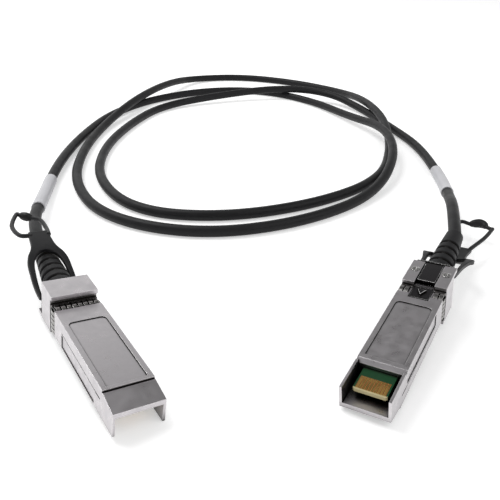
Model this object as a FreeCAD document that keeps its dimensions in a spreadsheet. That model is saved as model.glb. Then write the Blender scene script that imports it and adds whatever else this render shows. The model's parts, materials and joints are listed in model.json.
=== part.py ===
import FreeCAD, Part

import math
import os

import Sketcher
from FreeCAD import Placement, Rotation, Vector

# A passive direct attach copper cable: two small form-factor plugs joined by a
# round twinaxial cable that lies on the bench in a double loop.  Each plug is
# built in its own frame: X runs from the open nose to the cable, Z is up with
# the release latch underneath, and Y is across.  Plug A then lies on its
# underside and plug B on its upper face.

SIZES = [
    # housing
    ("body_width", 13.7, "width of both housing shells"),
    ("body_height", 8.5, "height of the body that slides into the cage"),
    ("body_rear", 48.9, "nose to the step where the head begins"),
    ("roof_wall", 1.1, "thickness of the upper shell's roof"),
    ("floor_wall", 1.0, "thickness of the lower shell's floor"),
    ("side_wall", 2.05, "thickness of the body's side walls"),
    ("seam_height", 5.0, "height of the joint between the shells"),
    ("nose_height", 6.65, "height of the upper shell at its open end"),
    ("nose_roof", 1.4, "roof thickness over the contact end"),
    ("nose_step", 6.4, "nose to the groove behind the sloping nose"),
    ("groove_wide", 0.7, "width of that groove"),
    ("groove_deep", 0.6, "depth of that groove"),
    ("skirt_wall", 0.7, "thickness of the skirts beside the contacts"),
    ("skirt_length", 11.3, "length of the nose that is open underneath"),
    ("floor_bevel", 1.1, "length of the bevel at the floor's front end"),
    ("label_front", 8.2, "front end of the shallow label recess"),
    ("label_rear", 37.7, "rear end of the label recess"),
    ("label_width", 10.8, "width of the label recess"),
    ("label_deep", 0.25, "depth of the label recess"),
    ("label_corner", 1.4, "corner radius of the label recess"),
    ("low_label_front", 14.0, "front end of the label recess in the floor"),
    ("low_label_rear", 39.7, "rear end of the label recess in the floor"),
    ("panel_rear", 38.2, "rear end of the stepped side panel"),
    ("panel_deep", 0.2, "depth of the step in the side wall"),
    ("panel_high", 4.6, "height of the top edge of the side panel"),
    ("panel_low", 0.6, "height of the bottom edge of the side panel"),
    # head
    ("head_front", 47.7, "nose to the front lip of the head"),
    ("head_rear", 57.4, "nose to the rear face of the head"),
    ("head_top", 11.3, "height of the head's top face"),
    ("head_lip", 1.3, "thickness of the lip that overhangs the springs"),
    ("head_drop", 1.2, "depth of the head below the body's underside"),
    ("head_tail", 3.4, "length that the lower shell passes the upper one"),
    ("head_wall", 2.2, "thickness of the head's rear wall"),
    ("outlet_radius", 3.6, "radius of the cable outlet in the rear wall"),
    ("outlet_play", 0.03, "radial clearance of the boot in the outlet"),
    # shielding springs
    ("collar_front", 44.6, "nose to the tips of the spring fingers"),
    ("collar_sheet", 0.2, "thickness of the spring sheet"),
    ("collar_recess", 0.3, "depth of the recess that seats the springs"),
    ("collar_band", 1.0, "length of the closed band behind the fingers"),
    ("finger_pitch", 1.6, "pitch of the spring fingers"),
    ("finger_width", 1.15, "width of one spring finger"),
    ("finger_rise", 0.55, "height of a finger's bow above the recess"),
    ("finger_root", 0.3, "overlap of a finger and its band"),
    ("finger_clear", 0.75, "latch channel to the nearest finger"),
    ("roof_finger_count", 8, "number of fingers on the roof"),
    ("side_finger_count", 5, "number of fingers on each side"),
    ("floor_finger_count", 2, "number of fingers on each side of the channel"),
    ("side_pitch", 1.45, "pitch of the fingers on each side"),
    # circuit board
    ("board_front", 3.2, "nose to the board's front edge"),
    ("board_rear", 41.5, "nose to the board's rear edge"),
    ("board_width", 9.2, "width of the board"),
    ("board_thick", 1.0, "thickness of the board"),
    ("board_low", 2.25, "height of the board's underside"),
    ("board_gap", 0.1, "clearance around the board"),
    ("pad_pitch", 0.8, "pitch of the edge contacts"),
    ("pad_width", 0.55, "width of one edge contact"),
    ("pad_length", 4.4, "length of one edge contact"),
    ("pad_set_back", 0.5, "board edge to the ends of the contacts"),
    ("pad_thick", 0.05, "height of a contact above the board"),
    # latch
    ("channel_width", 6.3, "width of the latch channel"),
    ("channel_front", 42.6, "nose to the front end of the latch channel"),
    ("channel_roof", 1.85, "height of the latch channel's roof"),
    ("tail_roof", 0.5, "height of the channel's roof behind the spring"),
    ("latch_gap", 0.2, "side clearance of the latch parts"),
    ("lever_front", 43.2, "nose to the lever's front end"),
    ("lever_rear", 50.6, "nose to the lever's rear end"),
    ("lever_thick", 0.6, "thickness of the lever's plate"),
    ("lever_low", 0.15, "height of the lever's underside"),
    ("pivot_place", 49.6, "nose to the lever's pivot"),
    ("pivot_height", 0.75, "height of the pivot's axis"),
    ("pivot_radius", 0.5, "radius of the pivot pin"),
    ("pivot_play", 0.05, "radial clearance of the lever on its pin"),
    ("hub_radius", 0.95, "radius of the lever's hub"),
    ("boss_tip", 44.6, "nose to the tip of the latch boss"),
    ("boss_length", 2.6, "length of the triangular boss"),
    ("boss_width", 2.6, "width of the triangular boss"),
    ("boss_high", 0.45, "height of the boss below the body"),
    ("pin_length", 8.6, "length of the pivot pin"),
    # release slider
    ("slider_front", 50.9, "nose to the slider's front end"),
    ("slider_sheet", 0.45, "thickness of the slider's sheet"),
    ("slider_width", 5.4, "width of the slider's plate"),
    ("slider_low", -1.1, "height of the slider's underside"),
    ("slider_lip", 0.9, "height of the folded edges of the slider"),
    ("flange_gap", 0.25, "clearance of the rear flange to the shell"),
    ("flange_high", -0.1, "height of the top of the rear flange"),
    ("post_inner", 5.6, "middle to the inner edge of the slider's rear posts"),
    ("post_reach", 0.75, "how far the posts stand past the body's side"),
    ("post_high", 6.5, "height of the top of the posts"),
    ("slide_travel", 2.5, "rearward travel of slider and pull tab"),
    ("spring_radius", 0.55, "mean radius of the return spring"),
    ("spring_wire", 0.2, "diameter of the spring's wire"),
    ("spring_pitch", 0.7, "pitch of the spring's turns"),
    ("spring_seat", 55.0, "nose to the spring's rear seat"),
    # pull tab
    ("tab_thick", 1.6, "thickness of the pull tab's fork"),
    ("tab_arm", 2.3, "width of the fork's arms beside the boot"),
    ("tab_inset", 0.3, "inner edge of the posts to the inner edge of the arms"),
    ("tab_front_high", 5.3, "height of the fork's underside at its front"),
    ("tab_slope", 12.0, "slope of the fork in degrees"),
    ("crotch_run", 18.0, "posts to the crotch of the fork"),
    ("neck_run", 23.0, "posts to the point where the yoke is narrowest"),
    ("yoke_run", 28.5, "posts to the rear edge of the yoke"),
    ("yoke_width", 7.0, "width of the yoke"),
    ("loop_radius", 0.75, "radius of the pull loop's strand"),
    ("grip_radius", 1.6, "radius of the loop's thick grip"),
    # boot and cable
    ("boot_radius", 4.75, "radius of the boot at the head"),
    ("boot_end_radius", 3.1, "radius of the boot at its free end"),
    ("boot_length", 33.0, "length of the boot behind the head"),
    ("boot_collar", 4.0, "length of the plain collar at the head"),
    ("rib_pitch", 4.2, "pitch of the boot's grooves"),
    ("rib_groove", 1.5, "width of one groove"),
    ("rib_deep", 0.9, "depth of one groove"),
    ("rib_count", 5, "number of grooves"),
    ("cable_radius", 2.3, "radius of the cable"),
    ("cable_lead", 22.0, "length of the cable's first run, in line with the boot"),
    ("crimp_radius", 2.8, "radius of the crimp ring"),
    ("crimp_length", 5.0, "length of the crimp ring"),
    ("wire_radius", 0.6, "radius of one signal pair"),
    ("wire_set_back", 3.0, "board's rear edge to the ends of the wires"),
    ("wire_splay", 5.0, "length over which the wires spread to the board"),
    ("wire_stagger", 2.2, "how much earlier the upper wires bend"),
    ("sleeve_radius", 2.75, "outer radius of the label sleeves"),
    ("sleeve_a_start", 42.0, "boot A's end to the first sleeve, along the cable"),
    ("sleeve_b_start", 57.0, "boot B's end to the second sleeve, along the cable"),
    ("sleeve_length", 37.0, "length of the label sleeves"),
    # screws
    ("screw_place", 55.9, "nose to the cover screws"),
    ("screw_across", 4.85, "distance of each screw from the middle"),
    ("screw_head", 1.25, "radius of the screw heads"),
    ("screw_head_high", 0.6, "height of the screw heads"),
    ("screw_shank", 0.7, "radius of the screw shanks"),
    ("screw_length", 6.6, "length of the screws under the head"),
    # where the plugs lie
    ("plug_a_x", -28.2, "nose of plug A on the bench"),
    ("plug_a_y", -52.9, "nose of plug A on the bench"),
    ("plug_a_turn", 124.2, "heading of plug A's cable end in degrees"),
    ("plug_a_roll", 7.0, "roll of plug A, tipped by the cable's twist"),
    ("plug_a_lift", 0.0, "how far plug A's tail is held off its seat, in degrees"),
    ("plug_a_bend", -5.0, "sideways bend of plug A's boot in degrees"),
    ("plug_a_tab_lean", -1.0, "sideways lean of plug A's yoke"),
    ("plug_b_x", 26.45, "nose of plug B on the bench"),
    ("plug_b_y", -47.2, "nose of plug B on the bench"),
    ("plug_b_turn", 61.54, "heading of plug B's cable end in degrees"),
    ("plug_b_roll", -3.7, "roll of plug B, tipped by the cable's twist"),
    ("plug_b_lift", 1.93, "how far plug B's tail is held off its seat, in degrees"),
    ("plug_b_bend", -2.0, "sideways bend of plug B's boot in degrees"),
    ("plug_b_tab_lean", 0.0, "sideways lean of plug B's yoke"),
]

# The cable's route from boot to boot in millimetres: bench position and
# height of each corner.  Each end is led out in line with its boot.
ROUTE = [
    (-94.8, 77.4, 3.0), (-101.8, 119.4, 2.9), (-102.8, 165.4, 2.3),
    (-96.8, 211.4, 2.3), (-76.8, 249.4, 2.3), (-41.8, 276.4, 2.3),
    (-2.8, 279.4, 2.3), (31.2, 253.4, 2.3), (52.2, 213.4, 5.0),
    (67.2, 172.4, 12.5), (66.2, 130.4, 12.0), (50.2, 91.4, 2.3),
    (15.2, 60.4, 2.3), (-25.8, 47.4, 2.3), (-65.8, 61.4, 2.3),
    (-87.8, 97.4, 2.3), (-95.8, 141.4, 2.3), (-95.8, 185.4, 2.3),
    (-84.8, 229.4, 11.5), (-70.8, 275.4, 11.5), (-55.8, 312.4, 2.3),
    (-19.8, 321.4, 2.3), (20.2, 307.4, 2.3), (53.2, 281.4, 2.3),
    (65.2, 239.4, 11.5), (71.2, 193.4, 11.5), (67.2, 149.4, 2.3),
    (54.2, 108.4, 2.3), (22.2, 79.4, 2.3), (-17.8, 63.4, 2.3),
    (-54.8, 68.4, 2.3), (-78.8, 103.4, 2.3), (-85.8, 147.4, 2.3),
    (-80.8, 191.4, 2.3), (-68.8, 231.4, 2.3), (-32.8, 254.4, 6.5),
    (9.2, 268.4, 11.5), (43.2, 261.4, 10.0), (64.2, 232.4, 2.3),
    (75.2, 196.4, 2.3), (84.2, 160.4, 2.9), (85.2, 117.4, 2.9),
    (83.2, 83.4, 5.5),
]

# Each pull loop's strand in its plug's frame: out from the yoke, along the
# grip, and back to the yoke.
LOOPS = {
    "a": {"out": [(88.0, 1.6, 11.7), (90.6, 5.0, 11.3), (98.8, 5.6, 10.9)],
          "grip": [(108.6, 1.8, 10.7), (103.0, -4.2, 10.7)],
          "back": [(94.0, -5.6, 11.0), (88.0, -3.8, 11.7)]},
    "b": {"out": [(88.0, 2.3, 11.7), (95.0, 3.9, 11.8), (104.5, 6.2, 12.3),
                  (113.4, 8.6, 13.0)],
          "grip": [(117.4, 5.4, 13.2), (117.2, 0.8, 13.2)],
          "back": [(114.4, -4.6, 13.0), (103.0, -5.2, 12.3), (88.0, -2.3, 11.7)]},
}
# Corners in each turn of the return spring's coil.
SPRING_SIDES = 10
# The fork's two edges: share of the way to the neck or crotch, and share of
# the half width beside the boot.
FORK_OUTER = ((0.0, 0.94), (0.11, 1.0), (0.39, 0.79), (0.63, 0.53), (0.83, 0.23), (1.0, 0.0))
FORK_INNER = ((0.0, 1.0), (0.18, 1.0), (0.52, 0.88), (0.79, 0.62), (0.96, 0.24), (1.0, 0.0))

document = FreeCAD.newDocument("direct_attach_cable")
sheet = document.addObject("Spreadsheet::Sheet", "Sizes")
pieces = []


class Size:
    """A length that knows its value and the expression that gives it."""

    def __init__(self, value, text):
        self.value = float(value)
        self.text = text

    def __add__(self, other):
        other = size_of(other)
        return Size(self.value + other.value, f"({self.text} + {other.text})")

    def __sub__(self, other):
        other = size_of(other)
        return Size(self.value - other.value, f"({self.text} - {other.text})")

    def __mul__(self, factor):
        factor = size_of(factor)
        return Size(self.value * factor.value, f"({self.text} * {factor.text})")

    def __neg__(self):
        return Size(-self.value, f"(-1 * {self.text})")


def size_of(thing):
    """A size as it is, and a plain number as a size."""
    return thing if isinstance(thing, Size) else Size(thing, repr(float(thing)))


def write_sheet():
    """Fill the sheet and return the named sizes."""
    named = {}
    for row, (name, value, note) in enumerate(SIZES, start=1):
        sheet.set(f"A{row}", name)
        sheet.set(f"B{row}", str(value))
        sheet.set(f"C{row}", note)
        sheet.setAlias(f"B{row}", name)
        named[name] = Size(value, f"Sizes.{name}")
    document.recompute()
    return named


S = write_sheet()
ZERO = size_of(0.0)
HALF = S["body_width"] * 0.5


# ---------------------------------------------------------------- helpers

def origin_plane(body, role):
    """The body's own origin plane of that role."""
    return next(f for f in body.Origin.OriginFeatures if f.Role == role)


def sketch_on(body, name, plane, offset=ZERO):
    """An empty sketch on one of the body's origin planes, moved by an offset."""
    sketch = body.newObject("Sketcher::SketchObject", name)
    sketch.AttachmentSupport = (origin_plane(body, plane), [""])
    sketch.MapMode = "FlatFace"
    sketch.AttachmentOffset = Placement(Vector(0, 0, offset.value), Rotation())
    sketch.setExpression("AttachmentOffset.Base.z", offset.text)
    return sketch


def pin_point(sketch, edge, end, across, up):
    """Tie one end of an edge to the sketch's origin by two bound distances."""
    for kind, length in (("DistanceX", across), ("DistanceY", up)):
        index = sketch.addConstraint(
            Sketcher.Constraint(kind, -1, 1, edge, end, length.value))
        sketch.setExpression(f"Constraints[{index}]", length.text)


def draw_outline(sketch, corners):
    """Add a closed outline of straight edges through the corners."""
    corners = [(size_of(a), size_of(b)) for a, b in corners]
    first = sketch.GeometryCount
    count = len(corners)
    for index, (across, up) in enumerate(corners):
        next_across, next_up = corners[(index + 1) % count]
        sketch.addGeometry(Part.LineSegment(
            Vector(across.value, up.value, 0),
            Vector(next_across.value, next_up.value, 0)), False)
    for index in range(count):
        after = first + (index + 1) % count
        sketch.addConstraint(Sketcher.Constraint("Coincident", first + index, 2, after, 1))
    for index, (across, up) in enumerate(corners):
        pin_point(sketch, first + index, 1, across, up)


def draw_circle(sketch, across, up, radius):
    """Add a circle whose centre and radius are bound."""
    across, up, radius = size_of(across), size_of(up), size_of(radius)
    edge = sketch.addGeometry(
        Part.Circle(Vector(across.value, up.value, 0), Vector(0, 0, 1), radius.value), False)
    index = sketch.addConstraint(Sketcher.Constraint("Radius", edge, radius.value))
    sketch.setExpression(f"Constraints[{index}]", radius.text)
    pin_point(sketch, edge, 3, across, up)


def box_corners(left, right, low, high):
    """Four corners of a rectangle."""
    return [(left, low), (right, low), (right, high), (left, high)]


def new_body(label, placement):
    """A body with its own label and place."""
    body = document.addObject("PartDesign::Body", label)
    body.Label = label
    body.Placement = placement
    pieces.append(body)
    return body


def pad(body, name, plane, outlines, length, offset=ZERO, symmetric=True, circles=()):
    """Add material from closed outlines."""
    return extrude(body, "PartDesign::Pad", name, plane, outlines, length, offset,
                   symmetric, circles)


def cut(body, name, plane, outlines, length, offset=ZERO, symmetric=True, circles=()):
    """Remove material inside closed outlines."""
    return extrude(body, "PartDesign::Pocket", name, plane, outlines, length, offset,
                   symmetric, circles)


def extrude(body, kind, name, plane, outlines, length, offset, symmetric, circles):
    """Pad or pocket the outlines by a bound length."""
    sketch = sketch_on(body, f"{name}_sketch", plane, offset)
    for corners in outlines:
        draw_outline(sketch, corners)
    for across, up, radius in circles:
        draw_circle(sketch, across, up, radius)
    feature = body.newObject(kind, name)
    feature.Profile = sketch
    length = size_of(length)
    feature.Length = length.value
    feature.setExpression("Length", length.text)
    if symmetric:
        feature.SideType = "Symmetric"
    before = None if kind == "PartDesign::Pad" else body.Shape.Volume
    document.recompute()
    if before is not None and body.Shape.Volume >= before - 1e-6:
        raise RuntimeError(f"{name} cut nothing")
    return feature


def chamfer(body, name, edges, size):
    """Chamfer the named edges of the body's last feature."""
    feature = body.newObject("PartDesign::Chamfer", name)
    feature.Base = (body.Tip if body.Tip is not feature else feature.BaseFeature, edges)
    feature.Size = size.value
    feature.setExpression("Size", size.text)
    document.recompute()
    return feature


def edges_where(shape, test):
    """Names of the edges whose middle passes a test."""
    found = []
    for index, edge in enumerate(shape.Edges, start=1):
        middle = edge.valueAt((edge.FirstParameter + edge.LastParameter) / 2)
        if test(edge, middle):
            found.append(f"Edge{index}")
    return found


def fixed_shape(label, shape, placement):
    """A piece whose shape comes from Part's own functions."""
    feature = document.addObject("Part::Feature", label)
    feature.Label = label
    feature.Shape = shape
    feature.Placement = placement * shape.Placement
    pieces.append(feature)
    return feature


# ---------------------------------------------------------------- housing

def collar_recess_cut(body, low, high):
    """Cut the recess around the body that seats the spring collar."""
    inner = HALF - S["collar_recess"]
    wide = HALF + 1.0
    for side, name in ((1, "left"), (-1, "right")):
        inside, outside = inner * side, wide * side
        cut(body, f"{name}_collar_recess", "YZ_Plane",
            [box_corners(inside, outside, low, high)],
            S["body_rear"] - S["collar_front"], offset=S["body_rear"], symmetric=False)


def crimp_front():
    """Nose to the front face of the crimp ring, where the shells' room ends."""
    return S["head_rear"] - S["head_wall"] - S["crimp_length"]


def top_cover(label, placement):
    """The upper die-cast shell: roof, sloping nose with skirts, and head."""
    body = new_body(label, placement)
    lip_under = S["head_top"] - S["head_lip"]
    groove_floor = S["body_height"] - S["groove_deep"]
    groove_rear = S["nose_step"] + S["groove_wide"]
    recess_floor = S["body_height"] - S["collar_recess"]
    pad(body, f"{label}_side", "XZ_Plane", [[
        (ZERO, ZERO), (S["skirt_length"], ZERO), (S["skirt_length"], S["seam_height"]),
        (S["head_rear"], S["seam_height"]), (S["head_rear"], S["head_top"]),
        (S["head_front"], S["head_top"]), (S["head_front"], lip_under),
        (S["body_rear"], lip_under), (S["body_rear"], recess_floor),
        (S["collar_front"], recess_floor), (S["collar_front"], S["body_height"]),
        (groove_rear, S["body_height"]), (groove_rear, groove_floor),
        (S["nose_step"], groove_floor), (ZERO, S["nose_height"])]], S["body_width"])
    cut(body, f"{label}_nose_room", "XZ_Plane",
        [box_corners(size_of(-1.0), S["skirt_length"], size_of(-1.0),
                     S["nose_height"] - S["nose_roof"])],
        S["body_width"] - S["skirt_wall"] * 2)
    cut(body, f"{label}_body_room", "XZ_Plane",
        [box_corners(S["skirt_length"] - 0.5, crimp_front(),
                     S["seam_height"] - 0.5, S["body_height"] - S["roof_wall"])],
        S["body_width"] - S["side_wall"] * 2)
    cut(body, f"{label}_crimp_seat", "YZ_Plane", [], S["crimp_length"] + 0.4,
        offset=S["head_rear"] - S["head_wall"] + 0.2, symmetric=False,
        circles=[(ZERO, S["seam_height"], S["crimp_radius"] + 0.05)])
    reach = S["screw_length"] - S["head_drop"]
    cut(body, f"{label}_screw_threads", "XY_Plane", [], reach - S["seam_height"] + 0.2,
        offset=reach, symmetric=False,
        circles=[(S["screw_place"], S["screw_across"] * side, S["screw_shank"])
                 for side in (1, -1)])
    cut(body, f"{label}_outlet", "YZ_Plane", [], S["head_wall"] + 0.5,
        offset=S["head_rear"] + 0.2, symmetric=False,
        circles=[(ZERO, S["seam_height"], S["outlet_radius"])])
    collar_recess_cut(body, S["seam_height"] - 0.2, S["body_height"])
    label_recess(body, label, S["label_front"], S["label_rear"], S["body_height"] + 1.0)
    for side, name in ((1, "left"), (-1, "right")):
        outer, inner = HALF * side, (HALF - S["panel_deep"]) * side
        cut(body, f"{label}_{name}_panel", "YZ_Plane",
            [[(inner, S["seam_height"] - 0.2), ((HALF + 1.0) * side, S["seam_height"] - 0.2),
              ((HALF + 1.0) * side, S["seam_height"] + 0.25), (inner, S["seam_height"] + 0.25)]],
            S["panel_rear"] - S["label_front"], offset=S["panel_rear"], symmetric=False)
    return body


def label_recess(body, label, front, rear, opening):
    """Sink a shallow field below a face at height opening, with round rear corners."""
    half = S["label_width"] * 0.5
    corner = S["label_corner"]
    steps = (0.0, 0.29, 0.71, 1.0)
    left = [(rear - corner * (1.0 - math.sin(a * math.pi / 2)),
             half - corner * (1.0 - math.cos(a * math.pi / 2))) for a in steps]
    right = [(across, -up) for across, up in reversed(left)]
    outline = [(front, -half), (front, half)] + left + right
    # the tool reaches past the face, so no skin is left over the field
    return cut(body, f"{label}_label_recess", "XY_Plane", [outline], S["label_deep"] + 1.0,
               offset=opening, symmetric=False)


def bottom_shell(label, placement):
    """The lower die-cast shell: floor, side walls, latch channel and head."""
    body = new_body(label, placement)
    tail = S["head_rear"] + S["head_tail"]
    front = S["skirt_length"]
    pad(body, f"{label}_side", "XZ_Plane", [[
        (front, S["floor_wall"]), (front + S["floor_bevel"], ZERO),
        (S["collar_front"], ZERO), (S["collar_front"], S["collar_recess"]),
        (S["body_rear"], S["collar_recess"]), (S["body_rear"], -S["head_drop"]),
        (tail, -S["head_drop"]), (tail, S["flange_high"] + S["flange_gap"]),
        (S["head_rear"], S["flange_high"] + S["flange_gap"]),
        (S["head_rear"], S["seam_height"]), (front, S["seam_height"])]], S["body_width"])
    # ledges carry the board at its underside
    cut(body, f"{label}_lower_room", "XZ_Plane",
        [box_corners(front + 1.2, S["channel_front"] - 1.2, S["floor_wall"],
                     S["seam_height"] + 1.0)],
        S["board_width"] - 2.0)
    cut(body, f"{label}_board_room", "XZ_Plane",
        [box_corners(front - 1.0, crimp_front(), S["board_low"],
                     S["seam_height"] + 1.0)],
        S["board_width"] + S["board_gap"] * 2)
    cut(body, f"{label}_crimp_seat", "YZ_Plane", [], S["crimp_length"] + 0.4,
        offset=S["head_rear"] - S["head_wall"] + 0.2, symmetric=False,
        circles=[(ZERO, S["seam_height"], S["crimp_radius"] + 0.05)])
    cut(body, f"{label}_outlet", "YZ_Plane", [], S["head_wall"] + 0.5,
        offset=S["head_rear"] + 0.2, symmetric=False,
        circles=[(ZERO, S["seam_height"], S["outlet_radius"])])
    under = -S["head_drop"] - 1.0
    cut(body, f"{label}_channel", "XZ_Plane",
        [[(S["channel_front"], under), (tail + 1.0, under), (tail + 1.0, S["tail_roof"]),
          (S["spring_seat"], S["tail_roof"]), (S["spring_seat"], S["channel_roof"]),
          (S["channel_front"], S["channel_roof"])]],
        S["channel_width"])
    cut(body, f"{label}_pivot_hole", "XZ_Plane", [], S["pin_length"],
        circles=[(S["pivot_place"], S["pivot_height"], S["pivot_radius"])])
    cut(body, f"{label}_screw_holes", "XY_Plane", [], S["screw_head_high"] + 0.2,
        offset=-S["head_drop"] + S["screw_head_high"] - 0.2 + 0.2, symmetric=False,
        circles=[(S["screw_place"], S["screw_across"] * side, S["screw_head"] + 0.15)
                 for side in (1, -1)])
    cut(body, f"{label}_screw_shafts", "XY_Plane", [], S["screw_length"],
        offset=-S["head_drop"] + S["screw_length"], symmetric=False,
        circles=[(S["screw_place"], S["screw_across"] * side, S["screw_shank"])
                 for side in (1, -1)])
    collar_recess_cut(body, ZERO, S["seam_height"] + 0.2)
    for side, name in ((1, "left"), (-1, "right")):
        inner = (HALF - S["panel_deep"]) * side
        outer = (HALF + 1.0) * side
        cut(body, f"{label}_{name}_panel", "YZ_Plane",
            [[(inner, S["panel_low"]), (outer, S["panel_low"]),
              (outer, S["panel_high"]), (inner, S["panel_high"])]],
            S["panel_rear"] - S["skirt_length"] - S["floor_bevel"],
            offset=S["panel_rear"], symmetric=False)
    label_recess(body, label, S["low_label_front"], S["low_label_rear"], S["label_deep"])
    return body


def emi_collar(label, placement):
    """Sheet spring collar: a band around the body with rows of bowed fingers."""
    outer_y = HALF - S["collar_recess"] + S["collar_sheet"]
    inner_y = HALF - S["collar_recess"]
    recess_top = S["body_height"] - S["collar_recess"]
    recess_low = S["collar_recess"]
    band_rear = S["body_rear"].value
    band_front = band_rear - S["collar_band"].value
    sheet_t = S["collar_sheet"].value

    def block(x0, x1, y0, y1, z0, z1):
        return Part.makeBox(x1 - x0, y1 - y0, z1 - z0, Vector(x0, y0, z0))

    low, high = recess_low.value - sheet_t, recess_top.value + sheet_t
    band = block(band_front, band_rear, -outer_y.value, outer_y.value, low, high)
    band = band.cut(block(band_front - 1, band_rear + 1, -inner_y.value, inner_y.value,
                          recess_low.value, recess_top.value))
    half_channel = S["channel_width"].value / 2
    band = band.cut(block(band_front - 1, band_rear + 1, -half_channel, half_channel,
                          low - 1, recess_low.value + 1))
    finger = bowed_finger(S["collar_front"].value, band_front + S["finger_root"].value)
    fingers = []
    pitch, width = S["finger_pitch"].value, S["finger_width"].value
    count = int(S["roof_finger_count"].value)
    for index in range(count):
        across = (index - (count - 1) / 2) * pitch
        fingers.append(moved(finger, Vector(0, across, recess_top.value), 0))
    count = int(S["side_finger_count"].value)
    for side in (1, -1):
        for index in range(count):
            up = (S["body_height"].value / 2
                  + (index - (count - 1) / 2) * S["side_pitch"].value)
            fingers.append(moved(finger, Vector(0, side * inner_y.value, up), -90 * side))
        for index in range(int(S["floor_finger_count"].value)):
            across = side * (half_channel + S["finger_clear"].value + width / 2
                             + index * pitch)
            fingers.append(moved(finger, Vector(0, across, recess_low.value), 180))
    shape = band.multiFuse(fingers)
    return fixed_shape(label, shape.removeSplitter(), placement)


def bowed_finger(tip, root):
    """One finger: a thin strip bowed outwards, with its tip turned in."""
    rise, sheet_t = S["finger_rise"].value, S["collar_sheet"].value
    width = S["finger_width"].value
    middle = (tip + root) / 2
    outer = Part.Arc(Vector(tip, 0, sheet_t), Vector(middle, 0, rise), Vector(root, 0, sheet_t))
    inner = Part.Arc(Vector(root, 0, 0), Vector(middle, 0, rise - sheet_t), Vector(tip, 0, 0))
    wire = Part.Wire([
        outer.toShape(),
        Part.makeLine(Vector(root, 0, sheet_t), Vector(root, 0, 0)),
        inner.toShape(),
        Part.makeLine(Vector(tip, 0, 0), Vector(tip, 0, sheet_t))])
    strip = Part.Face(wire).extrude(Vector(0, width, 0))
    strip.translate(Vector(0, -width / 2, 0))
    return strip


def moved(shape, offset, roll):
    """A copy rolled about X and then shifted."""
    copy = shape.copy()
    copy.rotate(Vector(), Vector(1, 0, 0), roll)
    copy.translate(offset)
    return copy


# ---------------------------------------------------------------- electronics

def circuit_board(label, placement):
    """The paddle card, with bevelled front corners."""
    body = new_body(label, placement)
    half = S["board_width"] * 0.5
    pad(body, f"{label}_card", "XY_Plane", [[
        (S["board_front"], -half + 0.4), (S["board_front"] + 0.4, -half),
        (S["board_rear"], -half), (S["board_rear"], half),
        (S["board_front"] + 0.4, half), (S["board_front"], half - 0.4)]],
        S["board_thick"], offset=S["board_low"], symmetric=False)
    return body


def contact_pads(label, placement):
    """Ten gold edge contacts on each face of the board."""
    front = S["board_front"] + S["pad_set_back"]
    rear = front + S["pad_length"]
    rows = []
    for index in range(10):
        middle = S["pad_pitch"] * (index - 4.5)
        rows.append(box_corners(front, rear, middle - S["pad_width"] * 0.5,
                                middle + S["pad_width"] * 0.5))
    solids = boxes_from(rows, S["board_low"] + S["board_thick"])
    solids += boxes_from(rows, S["board_low"] - S["pad_thick"])
    return fixed_shape(label, Part.makeCompound(solids), placement)


def boxes_from(rows, low):
    """Flat boxes over rectangles, one contact thick."""
    solids = []
    for corners in rows:
        (x0, y0), (x1, _), (_, y1) = corners[0], corners[1], corners[2]
        solids.append(Part.makeBox(
            x1.value - x0.value, y1.value - y0.value, S["pad_thick"].value,
            Vector(x0.value, y0.value, low.value)))
    return solids


def signal_wires(label, placement):
    """Four insulated conductors from the boot's core, through the ring, to the board."""
    start = S["head_rear"].value - S["head_wall"].value
    ring = crimp_front().value
    end = S["board_rear"].value - S["wire_set_back"].value
    radius = S["wire_radius"].value
    near = radius * 1.25
    axis = S["seam_height"].value
    rest = S["board_low"].value + S["board_thick"].value + radius
    solids = []
    for side in (1, -1):
        for row, late in ((-1, 0.0), (1, S["wire_stagger"].value)):
            across = side * radius * (4.0 if row < 0 else 1.4)
            begin = (side * near, axis + row * near)
            points = [Vector(start, *begin), Vector(ring + 0.4 - late, *begin),
                      Vector(ring - S["wire_splay"].value - late, across, rest),
                      Vector(end, across, rest)]
            solids.append(tube_along(points, radius))
    return fixed_shape(label, Part.makeCompound(solids), placement)


# ---------------------------------------------------------------- cable

def corner_radii(points):
    """The radius of each corner's arc: 0.45 of the shorter run, tangent to both."""
    radii = []
    for before, corner, after in zip(points, points[1:], points[2:]):
        first, second = corner - before, after - corner
        turn = first.getAngle(second)
        radii.append(0.45 * min(first.Length, second.Length) / math.tan(turn / 2))
    return radii


def smooth_wire(points):
    """Straight runs joined by tangent arcs, as one wire."""
    edges = []
    start = points[0]
    for index, radius in enumerate(corner_radii(points), start=1):
        before, corner, after = points[index - 1], points[index], points[index + 1]
        into, out = (corner - before).normalize(), (after - corner).normalize()
        half_turn = into.getAngle(out) / 2
        reach = radius * math.tan(half_turn)
        entry, leave = corner - into * reach, corner + out * reach
        inward = (out - into).normalize()
        centre = corner + inward * (radius / math.cos(half_turn))
        edges.append(Part.makeLine(start, entry))
        edges.append(Part.Arc(entry, centre - inward * radius, leave).toShape())
        start = leave
    edges.append(Part.makeLine(start, points[-1]))
    return Part.Wire(edges)


def disc_at(wire, radius):
    """A round section square to the wire's first edge."""
    first = wire.Edges[0]
    return Part.Wire(Part.makeCircle(
        radius, first.valueAt(first.FirstParameter), first.tangentAt(first.FirstParameter)))


def tube_along(points, radius):
    """A round solid along straight runs and tangent arcs."""
    wire = smooth_wire(points) if len(points) > 2 else Part.Wire(Part.makeLine(*points))
    return wire.makePipeShell([disc_at(wire, radius)], True, False)


def stretch_of(wire, start, end):
    """The part of a wire between two lengths along it."""
    edges = []
    passed = 0.0
    for edge in wire.Edges:
        low, high = max(start, passed), min(end, passed + edge.Length)
        if high - low > 1e-6:
            span = edge.LastParameter - edge.FirstParameter
            first = edge.FirstParameter + span * (low - passed) / edge.Length
            last = edge.FirstParameter + span * (high - passed) / edge.Length
            edges.append(edge.Curve.toShape(first, last))
        passed += edge.Length
    return Part.Wire(edges)


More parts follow.
